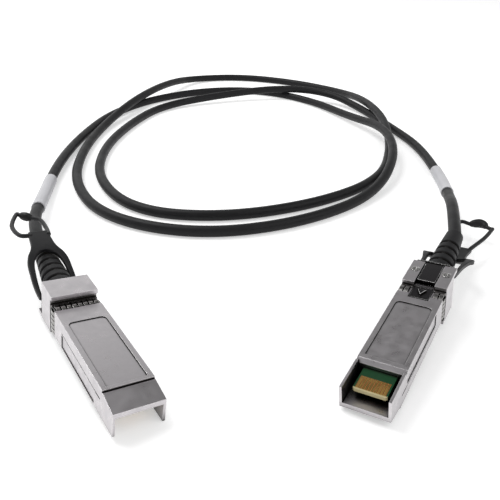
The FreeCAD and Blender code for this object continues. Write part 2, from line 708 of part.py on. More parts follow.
def route_points(boot_ends):
    """The cable's corners from boot to boot, with each boot's face and lead."""
    inner = [Vector(*point) for point in ROUTE]
    return boot_ends["a"] + inner + boot_ends["b"][::-1]


def cable(points):
    """The free cable, checked against its section times its length."""
    wire = smooth_wire(points)
    shape = tube_along(points, S["cable_radius"].value)
    area = math.pi * S["cable_radius"].value ** 2
    radii = corner_radii(points)
    print(f"cable length {wire.Length:.1f}, volume ratio {shape.Volume / area / wire.Length:.4f}")
    print("cable radii", [round(radius) for radius in radii])
    if min(radii) < 10 * S["cable_radius"].value:
        raise RuntimeError("a bend of the cable is too tight")
    return fixed_shape("cable", shape, Placement())


def label_sleeve(label, wire, start):
    """A blank wrap-round sleeve that hugs a stretch of the cable."""
    path = stretch_of(wire, start, start + S["sleeve_length"].value)
    outer = path.makePipeShell([disc_at(path, S["sleeve_radius"].value)], True, False)
    inner = path.makePipeShell([disc_at(path, S["cable_radius"].value)], True, False)
    return fixed_shape(label, outer.cut(inner), Placement())


def boot(label, placement, bend):
    """The ribbed strain relief: a collar in the outlet and a bent, grooved taper."""
    body = new_body(label, placement)
    face, axis = S["head_rear"], S["seam_height"]
    collar = S["boot_collar"]
    plug_front = face - S["head_wall"]
    turned_about(body, f"{label}_collar", sketch_on(body, f"{label}_collar_half", "XZ_Plane"), [
        (plug_front, axis), (plug_front, axis + S["outlet_radius"] - S["outlet_play"]),
        (face, axis + S["outlet_radius"] - S["outlet_play"]), (face, axis + S["boot_radius"]),
        (face + collar, axis + S["boot_radius"]), (face + collar, axis)], axis)
    bent = sketch_on(body, f"{label}_taper_half", "XZ_Plane")
    bent.AttachmentOffset = Placement(
        Vector((face + collar).value, 0, 0), Rotation(Vector(0, 1, 0), bend.value))
    bent.setExpression("AttachmentOffset.Base.x", (face + collar).text)
    bent.setExpression("AttachmentOffset.Rotation.Angle", bend.text)
    span = S["boot_length"].value - collar.value
    drop = S["boot_radius"] - S["boot_end_radius"]
    corners = [(size_of(-0.6), axis), (size_of(-0.6), axis + S["boot_radius"] - 0.05)]
    for index in range(int(S["rib_count"].value)):
        place = S["rib_pitch"] * index + 1.4
        for along, deep in ((place, 0.0), (place + 0.25, 1.0),
                            (place + S["rib_groove"] - 0.25, 1.0),
                            (place + S["rib_groove"], 0.0)):
            share = along.value / span
            radius = S["boot_radius"] - drop * share - S["rib_deep"] * deep
            corners.append((along, axis + radius))
    end = S["boot_length"] - collar
    corners += [(end - 1.0, axis + S["boot_end_radius"]),
                (end, axis + S["boot_end_radius"] - 0.5), (end, axis)]
    turned_about(body, f"{label}_taper", bent, corners, axis)
    return body


def turned_about(body, name, sketch, corners, axis):
    """Revolve a half outline about the level line at the axis height."""
    draw_outline(sketch, corners)
    line = sketch.addGeometry(
        Part.LineSegment(Vector(0, axis.value, 0), Vector(1, axis.value, 0)), True)
    pin_point(sketch, line, 1, ZERO, axis)
    pin_point(sketch, line, 2, size_of(1.0), axis)
    turned = body.newObject("PartDesign::Revolution", name)
    turned.Profile = sketch
    turned.ReferenceAxis = (sketch, ["Axis0"])
    turned.Angle = 360
    document.recompute()
    return turned


def boot_axis(name, length):
    """A point on the bent boot's axis, in the plug's frame."""
    bend = math.radians(S[f"plug_{name}_bend"].value)
    reach = length - S["boot_collar"].value
    knee = S["head_rear"].value + S["boot_collar"].value
    return Vector(knee + reach * math.cos(bend), reach * math.sin(bend), S["seam_height"].value)


def crimp_ring(label, placement):
    """The metal ring that grips the cable's braid behind the rear wall."""
    body = new_body(label, placement)
    rear = S["head_rear"] - S["head_wall"]
    pad(body, f"{label}_ring", "YZ_Plane", [], S["crimp_length"],
        offset=rear - S["crimp_length"], symmetric=False,
        circles=[(ZERO, S["seam_height"], S["crimp_radius"]),
                 (ZERO, S["seam_height"], S["cable_radius"])])
    return body


def bind(thing, name, length):
    """Set one property from a size and keep it bound."""
    length = size_of(length)
    setattr(thing, name, length.value)
    thing.setExpression(name, length.text)


# ---------------------------------------------------------------- latch

def latch_lever(label, placement):
    """The rocker with its hub and the triangular boss that locks in the cage."""
    body = new_body(label, placement)
    width = S["channel_width"] - S["latch_gap"] * 2
    pivot, height = S["pivot_place"], S["pivot_height"]
    pad(body, f"{label}_plate", "XZ_Plane",
        [box_corners(S["lever_front"], S["lever_rear"], S["lever_low"],
                     S["lever_low"] + S["lever_thick"])], width)
    pad(body, f"{label}_hub", "XZ_Plane", [], width, circles=[(pivot, height, S["hub_radius"])])
    cut(body, f"{label}_bore", "XZ_Plane", [], width + 1.0,
        circles=[(pivot, height, S["pivot_radius"] + S["pivot_play"])])
    half = S["boss_width"] * 0.5
    rear = S["boss_tip"] + S["boss_length"]
    pad(body, f"{label}_boss", "XY_Plane",
        [[(S["boss_tip"], ZERO), (rear, -half), (rear, half)]],
        S["boss_high"] + S["lever_low"] + 0.05, offset=-S["boss_high"], symmetric=False)
    return body


def latch_pin(label, placement):
    """The pivot pin across the latch channel."""
    pin = document.addObject("Part::Cylinder", label)
    pin.Label = label
    bind(pin, "Radius", S["pivot_radius"])
    bind(pin, "Height", S["pin_length"])
    local = Placement(Vector(S["pivot_place"].value, S["pin_length"].value / 2,
                             S["pivot_height"].value), Rotation(Vector(1, 0, 0), 90))
    pin.Placement = placement * local
    pieces.append(pin)
    return pin


def release_slider(label, placement):
    """Folded sheet slider: channel plate, rear flange and two upright posts."""
    body = new_body(label, placement)
    low, sheet_t = S["slider_low"], S["slider_sheet"]
    tail = slider_tail()
    half = S["slider_width"] * 0.5
    outer = HALF + S["post_reach"]
    pad(body, f"{label}_plate", "XZ_Plane",
        [box_corners(S["slider_front"], tail + sheet_t, low, low + sheet_t)],
        S["slider_width"])
    pad(body, f"{label}_lips", "YZ_Plane",
        [box_corners(half * side, (half - sheet_t) * side, low, low + S["slider_lip"] + sheet_t)
         for side in (1, -1)],
        tail + sheet_t - S["slider_front"], offset=S["slider_front"], symmetric=False)
    pad(body, f"{label}_rear", "YZ_Plane", [[
        (-outer, low), (outer, low), (outer, S["post_high"]),
        (S["post_inner"], S["post_high"]), (S["post_inner"], S["flange_high"]),
        (-S["post_inner"], S["flange_high"]), (-S["post_inner"], S["post_high"]),
        (-outer, S["post_high"])]], sheet_t, offset=tail, symmetric=False)
    pad(body, f"{label}_spring_tab", "XZ_Plane",
        [box_corners(S["slider_front"], S["slider_front"] + sheet_t, low,
                     S["channel_roof"] - S["latch_gap"])], S["spring_radius"] * 3)
    return body


def slider_tail():
    """Nose to the front face of the slider's rear flange."""
    return S["head_rear"] + S["head_tail"] + S["flange_gap"]


def return_spring(label, placement):
    """The small coil spring between the slider's front and its seat."""
    radius, wire_r = S["spring_radius"].value, S["spring_wire"].value / 2
    start = S["slider_front"].value + S["slider_sheet"].value + wire_r
    length = S["spring_seat"].value - wire_r - start
    steps = int(length / S["spring_pitch"].value * SPRING_SIDES)
    height = S["channel_roof"].value - radius - wire_r - S["pivot_play"].value
    points = [Vector(start + length * index / steps,
                     radius * math.cos(2 * math.pi * index / SPRING_SIDES),
                     height + radius * math.sin(2 * math.pi * index / SPRING_SIDES))
              for index in range(steps + 1)]
    wire = Part.makePolygon(points)
    # corners are mitred, so the wire keeps its section all the way
    coil = wire.makePipeShell([disc_at(wire, wire_r)], True, False, 1)
    return fixed_shape(label, coil, placement)


def cover_screw(label, placement, side):
    """A round-head screw up through the lower shell into the upper one."""
    body = new_body(label, placement)
    across = S["screw_across"] * side
    seat = S["screw_head_high"] - S["head_drop"]
    pad(body, f"{label}_head", "XY_Plane", [], S["screw_head_high"] + 0.1,
        offset=-S["head_drop"] - 0.1, symmetric=False,
        circles=[(S["screw_place"], across, S["screw_head"])])
    pad(body, f"{label}_shank", "XY_Plane", [], S["screw_length"] - S["screw_head_high"],
        offset=seat, symmetric=False, circles=[(S["screw_place"], across, S["screw_shank"])])
    cut(body, f"{label}_slot", "XY_Plane",
        [box_corners(S["screw_place"] - 0.9, S["screw_place"] + 0.9,
                     across - 0.15, across + 0.15)],
        size_of(0.3), offset=-S["head_drop"] + 0.2, symmetric=False)
    return body


def fork_edge(shares, reach, narrow, wide, lean, side):
    """Points of one edge of the fork, from the posts rearwards."""
    return [Vector(along * reach, side * (narrow + (wide - narrow) * across)
                   + lean * (along * reach / S["neck_run"].value) ** 2, 0)
            for along, across in shares]


def smooth_edge(points):
    """A smooth curve through points, as an edge."""
    curve = Part.BSplineCurve()
    curve.interpolate(points)
    return curve.toShape()


def pull_tab(label, placement, loop, lean):
    """The moulded pull tab: two arms, a yoke over the cable and a thin loop."""
    front = (slider_tail() + S["slider_sheet"]).value
    inner = (S["post_inner"] + S["tab_inset"]).value
    outer = inner + S["tab_arm"].value
    half_yoke, lean = S["yoke_width"].value / 2, lean.value
    sides = {side: fork_edge(FORK_OUTER, S["neck_run"].value, half_yoke, outer, lean, side)
             for side in (1, -1)}
    crotch = {side: fork_edge(FORK_INNER, S["crotch_run"].value, 0.0, inner, lean, side)
              for side in (1, -1)}
    rear = S["yoke_run"].value
    left, right = Vector(rear, half_yoke + lean, 0), Vector(rear, lean - half_yoke, 0)
    wire = Part.Wire([
        smooth_edge(sides[1]), Part.makeLine(sides[1][-1], left), Part.makeLine(left, right),
        Part.makeLine(right, sides[-1][-1]), smooth_edge(sides[-1][::-1]),
        Part.makeLine(sides[-1][0], crotch[-1][0]),
        smooth_edge(crotch[-1] + crotch[1][:-1][::-1]),
        Part.makeLine(crotch[1][0], sides[1][0])])
    fork = Part.Face(wire).extrude(Vector(0, 0, S["tab_thick"].value))
    fork.rotate(Vector(), Vector(0, 1, 0), -S["tab_slope"].value)
    thick, high = S["tab_thick"].value, S["tab_front_high"].value
    fork.translate(Vector(front, 0, high))
    # the sloping arms end upright against the posts
    fork = fork.cut(Part.makeBox(thick, outer * 4, thick * 4,
                                 Vector(front - thick, -outer * 2, high - thick)))
    points = [Vector(*point) for point in loop["out"] + loop["grip"] + loop["back"]]
    strand = tube_along(points, S["loop_radius"].value)
    first, last = [Vector(*point) for point in loop["grip"]]
    ends = [first * 0.85 + last * 0.15, first * 0.15 + last * 0.85]
    grip = tube_along(ends, S["grip_radius"].value)
    shape = fork.multiFuse([strand, grip]).removeSplitter()
    return fixed_shape(label, shape, placement)


# ---------------------------------------------------------------- assembly

def plug_place(name):
    """Where a plug rests: A on its underside, B turned over on its head."""
    drop, rise = S["head_drop"].value, S["head_top"].value - S["body_height"].value
    heel = S["nose_step"].value + S["groove_wide"].value
    if name == "a":
        pitch, over = math.atan(drop / S["body_rear"].value), 0.0
    else:
        pitch, over = math.atan(rise / (S["head_front"].value - heel)), 180.0
    spin = Rotation(Vector(0, 0, 1), S[f"plug_{name}_turn"].value)
    spin = spin * Rotation(Vector(0, 1, 0),
                           -math.degrees(pitch) - S[f"plug_{name}_lift"].value)
    spin = spin * Rotation(Vector(1, 0, 0), over + S[f"plug_{name}_roll"].value)
    contacts = [(0.0, 0.0), (heel, S["body_height"].value), (S["body_rear"].value, -drop),
                (S["head_front"].value, S["head_top"].value)]
    lowest = min(spin.multVec(Vector(along, side * HALF.value, up)).z
                 for along, up in contacts for side in (1, -1))
    here = Vector(S[f"plug_{name}_x"].value, S[f"plug_{name}_y"].value, -lowest)
    return Placement(here, spin)


def build_plug(name):
    """Make every piece of one plug and return its boot's face and the cable's lead."""
    prefix = f"plug_{name}"
    place = plug_place(name)
    top_cover(f"{prefix}_top_cover", place)
    bottom_shell(f"{prefix}_bottom_shell", place)
    emi_collar(f"{prefix}_emi_collar", place)
    circuit_board(f"{prefix}_circuit_board", place)
    contact_pads(f"{prefix}_contact_pads", place)
    signal_wires(f"{prefix}_signal_wires", place)
    crimp_ring(f"{prefix}_crimp_ring", place)
    boot(f"{prefix}_boot", place, S[f"{prefix}_bend"])
    latch_lever(f"{prefix}_latch_lever", place)
    latch_pin(f"{prefix}_latch_pin", place)
    release_slider(f"{prefix}_release_slider", place)
    return_spring(f"{prefix}_return_spring", place)
    pull_tab(f"{prefix}_pull_tab", place, LOOPS[name], S[f"{prefix}_tab_lean"])
    cover_screw(f"{prefix}_left_screw", place, 1)
    cover_screw(f"{prefix}_right_screw", place, -1)
    length = S["boot_length"].value
    slide, pivot = place.Rotation.multVec(Vector(1, 0, 0)), place.Rotation.multVec(Vector(0, 1, 0))
    centre = place.multVec(Vector(S["pivot_place"].value, 0, S["pivot_height"].value))
    print(f"{prefix} slide {tuple(slide)} pivot {tuple(pivot)} at {tuple(centre)}")
    return [place.multVec(boot_axis(name, length)),
            place.multVec(boot_axis(name, length + S["cable_lead"].value))]


def check_and_write():
    """Stop on any failed object, then write one file for each piece."""
    document.recompute()
    failed = [thing.Label for thing in document.Objects
              if {"Invalid", "Error"} & set(thing.State)]
    if failed:
        raise RuntimeError(f"failed: {failed}")
    for piece in pieces:
        if piece.Shape.isNull() or not piece.Shape.isValid():
            raise RuntimeError(f"{piece.Label} has no valid shape")
    os.makedirs("parts", exist_ok=True)
    for piece in pieces:
        piece.Shape.exportStep(os.path.join("parts", f"{piece.Label}.step"))
        box = piece.Shape.BoundBox
        print(f"{piece.Label}: solids {len(piece.Shape.Solids)} volume {piece.Shape.Volume:.2f}"
              f" x {box.XMin:.1f}..{box.XMax:.1f} y {box.YMin:.1f}..{box.YMax:.1f}"
              f" z {box.ZMin:.2f}..{box.ZMax:.2f}")


boot_ends = {name: build_plug(name) for name in ("a", "b")}
corners = route_points(boot_ends)
cable(corners)
cable_wire = smooth_wire(corners)
label_sleeve("label_sleeve_a", cable_wire, S["sleeve_a_start"].value)
label_sleeve("label_sleeve_b", cable_wire,
             cable_wire.Length - S["sleeve_b_start"].value - S["sleeve_length"].value)
check_and_write()
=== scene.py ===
"""Looks of the direct attach cable: finishes, moulded pieces, cord, studio and camera."""
import json
import logging
import math
from dataclasses import dataclass
from enum import Enum
from typing import ClassVar, Sequence

import bpy
import numpy as np
from mathutils import Matrix


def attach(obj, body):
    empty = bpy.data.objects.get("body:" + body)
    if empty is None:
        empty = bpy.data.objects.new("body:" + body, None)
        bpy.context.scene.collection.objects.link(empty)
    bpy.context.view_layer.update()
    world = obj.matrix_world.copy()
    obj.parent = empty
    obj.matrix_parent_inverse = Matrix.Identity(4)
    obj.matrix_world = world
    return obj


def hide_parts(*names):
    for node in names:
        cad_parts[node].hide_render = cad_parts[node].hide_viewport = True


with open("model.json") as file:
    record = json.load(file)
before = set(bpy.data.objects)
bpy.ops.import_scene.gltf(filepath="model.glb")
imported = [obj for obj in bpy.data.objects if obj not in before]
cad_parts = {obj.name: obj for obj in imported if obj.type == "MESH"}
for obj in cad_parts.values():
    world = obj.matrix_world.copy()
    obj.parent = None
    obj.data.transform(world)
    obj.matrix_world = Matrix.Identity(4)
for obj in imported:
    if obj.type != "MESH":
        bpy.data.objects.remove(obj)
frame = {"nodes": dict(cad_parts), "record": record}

MM = 0.001
UP = np.array([0.0, 0.0, 1.0])
# Painted shade: the near-black that corners, slots and recesses are darkened towards in the
# finishes' colour.
PAINTED_HOLLOW_SHADE = (0.016, 0.014, 0.012, 1.0)
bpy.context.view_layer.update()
LOG = logging.getLogger("direct_attach_cable")


# ------------------------------------------------------------ shared mathematics

def smooth_step(low: float, high: float, value: np.ndarray) -> np.ndarray:
    """Rise softly from 0 at low to 1 at high.

    Formula: with t the share of the way, clipped to 0..1, the answer is 3 t squared - 2 t cubed.

    Args:
        low: value at which the rise starts.
        high: value at which it ends.
        value: where to read it.

    Returns:
        The risen share for each value.
    """
    share = np.clip((value - low) / (high - low), 0.0, 1.0)
    return share * share * (3.0 - 2.0 * share)


def threaded_path(points: np.ndarray, samples: int) -> np.ndarray:
    """Carry a smooth curve through every one of a row of points.

    Formula: a cubic between each two neighbours, whose slopes at them are half the step
    from the point before to the point after (Catmull and Rom).

    Args:
        points: points, one row each.
        samples: points returned for each span.

    Returns:
        The curve's points.
    """
    row = np.concatenate([2 * points[:1] - points[1:2], points, 2 * points[-1:] - points[-2:-1]])
    share = np.linspace(0.0, 1.0, samples, endpoint=False)[:, None]
    weights = 0.5 * np.stack([-share + 2 * share ** 2 - share ** 3,
                              2 - 5 * share ** 2 + 3 * share ** 3,
                              share + 4 * share ** 2 - 3 * share ** 3,
                              -share ** 2 + share ** 3])
    spans = len(row) - 3
    quads = np.stack([row[i:i + spans] for i in range(4)])
    curve = np.einsum("wsk,wnd->nsd", weights, quads).reshape(-1, row.shape[1])
    return np.concatenate([curve, points[-1:]])


def tube_rings(path: np.ndarray, radius: np.ndarray, sides: int) -> np.ndarray:
    """Carry a circle along a path that never runs straight up.

    Formula: at each point the ring is the point plus radius times (cosine of the angle times
    the side direction plus sine times the upper direction); the side direction is the
    path's direction crossed with up.

    Args:
        path: points of the centre line.
        radius: one radius for each point, or one for each point and side.
        sides: points round the ring.

    Returns:
        Ring points, indexed by place, side and axis.
    """
    run = np.gradient(path, axis=0)
    run /= np.linalg.norm(run, axis=1, keepdims=True)
    side = np.cross(run, UP)
    side /= np.linalg.norm(side, axis=1, keepdims=True)
    upper = np.cross(side, run)
    angle = np.linspace(0.0, 2 * math.pi, sides, endpoint=False)
    radius = np.broadcast_to(radius.reshape(len(path), -1), (len(path), sides))
    spread = (np.cos(angle)[None, :, None] * side[:, None, :]
              + np.sin(angle)[None, :, None] * upper[:, None, :])
    return path[:, None, :] + radius[:, :, None] * spread


class Ends(Enum):
    """How a tube's two ends are finished."""

    CAPPED = "capped"
    JOINED = "joined"


def skin(name: str, rings: np.ndarray, ends: Ends) -> bpy.types.Object:
    """Put quads between neighbouring rings and close both ends.

    Formula: corner (i, j) joins (i + 1, j), (i + 1, j + 1) and (i, j + 1), counted round; a
    capped end has one more point at the ring's mean, with a triangle to each side.

    Args:
        name: the piece's name.
        rings: points, indexed by place, side and axis, in metres.
        ends: joined into a closed loop, or capped.

    Returns:
        The new piece, at the origin.
    """
    places, sides = rings.shape[:2]
    index = np.arange(places * sides).reshape(places, sides)
    following = np.roll(index, -1, axis=1)
    here, here_following = index, following
    if ends is Ends.CAPPED:
        here, here_following = index[:-1], following[:-1]
    ahead, ahead_following = (np.roll(row, -1, axis=0)[:len(here)] for row in (index, following))
    quads = np.stack([here, here_following, ahead_following, ahead], axis=-1).reshape(-1, 4)
    points = rings.reshape(-1, 3)
    faces = quads.tolist()
    if ends is Ends.CAPPED:
        start, finish = len(points), len(points) + 1
        points = np.concatenate([points, rings[0].mean(0)[None], rings[-1].mean(0)[None]])
        first = np.stack([np.full(sides, start), following[0], index[0]], axis=-1)
        last = np.stack([np.full(sides, finish), index[-1], following[-1]], axis=-1)
        faces += first.tolist() + last.tolist()
    return piece_of(name, points, faces)


def piece_of(name: str, points: np.ndarray, faces: Sequence[Sequence[int]],
             smooth: bool = True) -> bpy.types.Object:
    """Make one mesh piece from points and faces, with its normals turned outwards.

    Args:
        name: the piece's name.
        points: its points in metres.
        faces: rows of point numbers.
        smooth: shade the faces smoothly.

    Returns:
        The new piece, at the origin.
    """
    mesh = bpy.data.meshes.new(name)
    mesh.from_pydata(points.tolist(), [], list(faces))
    mesh.validate()
    made = bpy.data.objects.new(name, mesh)
    bpy.context.scene.collection.objects.link(made)
    if signed_volume(mesh) < 0:
        mesh.flip_normals()
    mesh.shade_smooth() if smooth else mesh.shade_flat()
    mesh.update()
    return made


def signed_volume(mesh: bpy.types.Mesh) -> float:
    """Volume of a closed mesh, below zero where its faces point inwards.

    Formula: a sixth of the sum, over its triangles, of corner a dot (corner b cross corner c).

    Args:
        mesh: the closed mesh.

    Returns:
        Its volume in cubic metres.
    """
    mesh.calc_loop_triangles()
    corners = np.empty(len(mesh.vertices) * 3)
    mesh.vertices.foreach_get("co", corners)
    triangles = np.empty(len(mesh.loop_triangles) * 3, dtype=np.int64)
    mesh.loop_triangles.foreach_get("vertices", triangles)
    a, b, c = corners.reshape(-1, 3)[triangles.reshape(-1, 3)].transpose(1, 0, 2)
    return float(np.einsum("nd,nd->", a, np.cross(b, c)) / 6.0)


# ------------------------------------------------------------ material building

class Recipe:
    """A material's node tree with short ways to add and join nodes."""

    def __init__(self, name: str) -> None:
        """Start an empty material with one Principled shader."""
        self.material = bpy.data.materials.new(name)
        self.material.use_nodes = True
        self.tree = self.material.node_tree
        self.tree.nodes.clear()
        output = self.tree.nodes.new("ShaderNodeOutputMaterial")
        self.shader = self.tree.nodes.new("ShaderNodeBsdfPrincipled")
        self.colour: bpy.types.NodeSocket | None = None
        self.join(self.shader.outputs["BSDF"], output.inputs["Surface"])

    def join(self, source: bpy.types.NodeSocket, target: bpy.types.NodeSocket) -> None:
        """Link one socket to another."""
        self.tree.links.new(source, target)

    def node(self, kind: str, settings: dict | None = None, **inputs: object) -> bpy.types.Node:
        """Add one node.

        Args:
            kind: the node's type name.
            settings: properties of the node itself.
            inputs: socket name, with _ for a space, to a number, colour or other socket.

        Returns:
            The node.
        """
        return add_node(self.tree, kind, settings, **inputs)

    def plain(self, **values: object) -> None:
        """Set constant inputs of the shader, with _ for a space in a name."""
        for name, value in values.items():
            self.shader.inputs[name.replace("_", " ")].default_value = value

    def feed(self, name: str, source: bpy.types.NodeSocket) -> None:
        """Join a socket to one of the shader's inputs."""
        self.join(source, self.shader.inputs[name])

    def place(self) -> bpy.types.NodeSocket:
        """Object coordinates."""
        return self.node("ShaderNodeTexCoord").outputs["Object"]


def add_node(tree: bpy.types.NodeTree, kind: str, settings: dict | None = None,
             **inputs: object) -> bpy.types.Node:
    """Add a node to a tree, set its properties and fill its sockets.

    Args:
        tree: the tree that takes the node.
        kind: the node's type name.
        settings: properties of the node itself.
        inputs: socket name, with _ for a space, or _ and the socket's number, to a number,
            colour or other socket.

    Returns:
        The node.
    """
    made = tree.nodes.new(kind)
    for name, value in (settings or {}).items():
        setattr(made, name, value)
    for name, value in inputs.items():
        key = int(name[1:]) if name[1:].isdigit() else name.replace("_", " ")
        target = made.inputs[key]
        if isinstance(value, bpy.types.NodeSocket):
            tree.links.new(value, target)
        else:
            target.default_value = value
    return made


def new_group(name: str, takes: dict[str, float | None],
              gives: dict[str, str]) -> tuple[bpy.types.NodeTree, bpy.types.Node, bpy.types.Node]:
    """Start a shader node group.

    Args:
        name: the group's name.
        takes: input name to its default number, or None for a vector.
        gives: output name to its socket type.

    Returns:
        The group, its input node and its output node.
    """
    group = bpy.data.node_groups.new(name, "ShaderNodeTree")
    for label, value in takes.items():
        kind = "NodeSocketVector" if value is None else "NodeSocketFloat"
        made = group.interface.new_socket(label, in_out="INPUT", socket_type=kind)
        if value is not None:
            made.default_value = value
    for label, kind in gives.items():
        group.interface.new_socket(label, in_out="OUTPUT", socket_type=kind)
    return group, group.nodes.new("NodeGroupInput"), group.nodes.new("NodeGroupOutput")


def build_grain_group() -> bpy.types.NodeTree:
    """Fine surface grain with a slow mottle.

    Height is a fine noise; Mottle is a noise about eight times coarser, stretched to run
    from 0 to 1.

    Returns:
        The group.
    """
    group, entry, leave = new_group("surface_grain", {"Vector": None, "Scale": 900.0},
                                    {"Height": "NodeSocketFloat", "Mottle": "NodeSocketFloat"})
    fine = add_node(group, "ShaderNodeTexNoise", Vector=entry.outputs["Vector"],
                    Scale=entry.outputs["Scale"], Detail=5.0, Roughness=0.65)
    slow_scale = add_node(group, "ShaderNodeMath", {"operation": "MULTIPLY"},
                          _0=entry.outputs["Scale"], _1=0.12)
    slow = add_node(group, "ShaderNodeTexNoise", Vector=entry.outputs["Vector"],
                    Scale=slow_scale.outputs[0], Detail=3.0, Roughness=0.5)
    spread = add_node(group, "ShaderNodeMapRange", Value=slow.outputs["Fac"],
                      From_Min=0.3, From_Max=0.7)
    group.links.new(fine.outputs["Fac"], leave.inputs["Height"])
    group.links.new(spread.outputs["Result"], leave.inputs["Mottle"])
    return group


def build_edge_group() -> bpy.types.NodeTree:
    """Soft edges: a rounded normal, a mask of outer edges and a mask of hollows.

    Hollow is 1 deep in a corner or slot and 0 in the open; the finishes darken their colour
    with it as painted shade. Edge is 1 where the surface turns outwards, so the part of it
    that lies in a corner or slot is taken away; the finishes lighten their edges with it,
    partly for wear and partly as a painted highlight.

    Returns:
        The group.
    """
    group, entry, leave = new_group(
        "soft_edges", {"Radius": 0.00015, "Reach": 0.0008},
        {"Normal": "NodeSocketVector", "Edge": "NodeSocketFloat", "Hollow": "NodeSocketFloat"})
    rounded = add_node(group, "ShaderNodeBevel", {"samples": 6}, Radius=entry.outputs["Radius"])
    flat = add_node(group, "ShaderNodeNewGeometry")
    match = add_node(group, "ShaderNodeVectorMath", {"operation": "DOT_PRODUCT"},
                     _0=rounded.outputs["Normal"], _1=flat.outputs["True Normal"])
    turn = add_node(group, "ShaderNodeMapRange", Value=match.outputs["Value"],
                    From_Min=0.985, From_Max=0.86)
    shade = add_node(group, "ShaderNodeAmbientOcclusion", {"samples": 16},
                     Distance=entry.outputs["Reach"])
    hollow_shade = add_node(group, "ShaderNodeMapRange", Value=shade.outputs["AO"],
                      From_Min=0.96, From_Max=0.70)
    open_air = add_node(group, "ShaderNodeMapRange", Value=shade.outputs["AO"],
                        From_Min=0.80, From_Max=0.95)
    outer = add_node(group, "ShaderNodeMath", {"operation": "MULTIPLY"},
                     _0=turn.outputs["Result"], _1=open_air.outputs["Result"])
    settled = add_node(group, "ShaderNodeMix", {"data_type": "VECTOR"},
                       _0=hollow_shade.outputs["Result"], _4=rounded.outputs["Normal"],
                       _5=flat.outputs["True Normal"])
    group.links.new(settled.outputs[1], leave.inputs["Normal"])
    group.links.new(outer.outputs[0], leave.inputs["Edge"])
    group.links.new(hollow_shade.outputs["Result"], leave.inputs["Hollow"])
    return group


def build_cavity_group() -> bpy.types.NodeTree:
    """Wide shade: 1 where walls stand close all round, 0 on open faces.

    Returns:
        The group.
    """
    group, entry, leave = new_group("cavity_shade", {"Reach": 0.006},
                                    {"Shade": "NodeSocketFloat"})
    near = add_node(group, "ShaderNodeAmbientOcclusion", {"samples": 8},
                    Distance=entry.outputs["Reach"])
    depth = add_node(group, "ShaderNodeMapRange", Value=near.outputs["AO"],
                     From_Min=0.80, From_Max=0.35)
    group.links.new(depth.outputs["Result"], leave.inputs["Shade"])
    return group


GRAIN = build_grain_group()
EDGES = build_edge_group()
CAVITY = build_cavity_group()


@dataclass(frozen=True)
class Finish:
    """One metal or plastic finish with grain, mottle and softened edges lightened for wear and a
    painted highlight, and painted shade in corners and cavities.
    """

    name: str
    colour: tuple[float, float, float]
    second: tuple[float, float, float]
    # Colour of outer edges: partly wear, partly a painted highlight.
    edge_wear_and_highlight: tuple[float, float, float]
    metallic: float = 0.0
    rough_low: float = 0.4
    rough_high: float = 0.5
    grain_scale: float = 900.0
    grain_deep: float = 0.00001
    grain_strength: float = 0.25
    edge_radius: float = 0.00015
    coat: float = 0.0
    coat_rough: float = 0.2
    specular: float = 0.5
    # How strongly corners and slots are darkened with painted shade, and how far that shade
    # reaches.
    hollow_shade: float = 0.0
    hollow_reach: float = 0.0008
    # How strongly whole cavities are darkened with painted shade.
    painted_cavity_shade: float = 0.0

    def build(self) -> Recipe:
        """Build the material.

        Returns:
            The recipe, so that a caller may add to it.
        """
        made = Recipe(self.name)
        grain = made.node("ShaderNodeGroup", {"node_tree": GRAIN}, Scale=self.grain_scale,
                          Vector=made.place())
        edges = made.node("ShaderNodeGroup", {"node_tree": EDGES}, Radius=self.edge_radius,
                          Reach=self.hollow_reach)
        mixed = made.node("ShaderNodeMix", {"data_type": "RGBA"},
                          _0=grain.outputs["Mottle"], _6=(*self.colour, 1.0),
                          _7=(*self.second, 1.0))
        # Outer edges lighten towards the edge colour: partly wear, partly a painted highlight.
        edge_wear_and_highlight = made.node("ShaderNodeMix", {"data_type": "RGBA"},
                         _0=edges.outputs["Edge"], _6=mixed.outputs[2], _7=(*self.edge_wear_and_highlight, 1.0))
        # Painted shade: in corners and slots, and with a wider reach in whole cavities, the
        # colour darkens towards a near-black.
        depth = made.node("ShaderNodeMath", {"operation": "MULTIPLY"},
                          _0=edges.outputs["Hollow"], _1=self.hollow_shade)
        # Painted shade over whole cavities, from an ambient occlusion with a wider reach.
        if self.painted_cavity_shade:
            wide = made.node("ShaderNodeGroup", {"node_tree": CAVITY})
            deep = made.node("ShaderNodeMath", {"operation": "MULTIPLY"},
                             _0=wide.outputs["Shade"], _1=self.painted_cavity_shade)
            depth = made.node("ShaderNodeMath", {"operation": "MAXIMUM"},
                              _0=depth.outputs[0], _1=deep.outputs[0])
        shaded = made.node("ShaderNodeMix", {"data_type": "RGBA"}, _0=depth.outputs[0],
                           _6=edge_wear_and_highlight.outputs[2], _7=PAINTED_HOLLOW_SHADE)
        made.colour = shaded.outputs[2]
        rough = made.node("ShaderNodeMapRange", Value=grain.outputs["Mottle"],
                          To_Min=self.rough_low, To_Max=self.rough_high)
        bump = made.node("ShaderNodeBump", Strength=self.grain_strength,
                         Distance=self.grain_deep, Height=grain.outputs["Height"],
                         Normal=edges.outputs["Normal"])
        made.feed("Base Color", made.colour)
        made.feed("Roughness", rough.outputs["Result"])
        made.feed("Normal", bump.outputs["Normal"])
        made.plain(Metallic=self.metallic, Coat_Weight=self.coat,
                   Coat_Roughness=self.coat_rough, Specular_IOR_Level=self.specular)
        return made


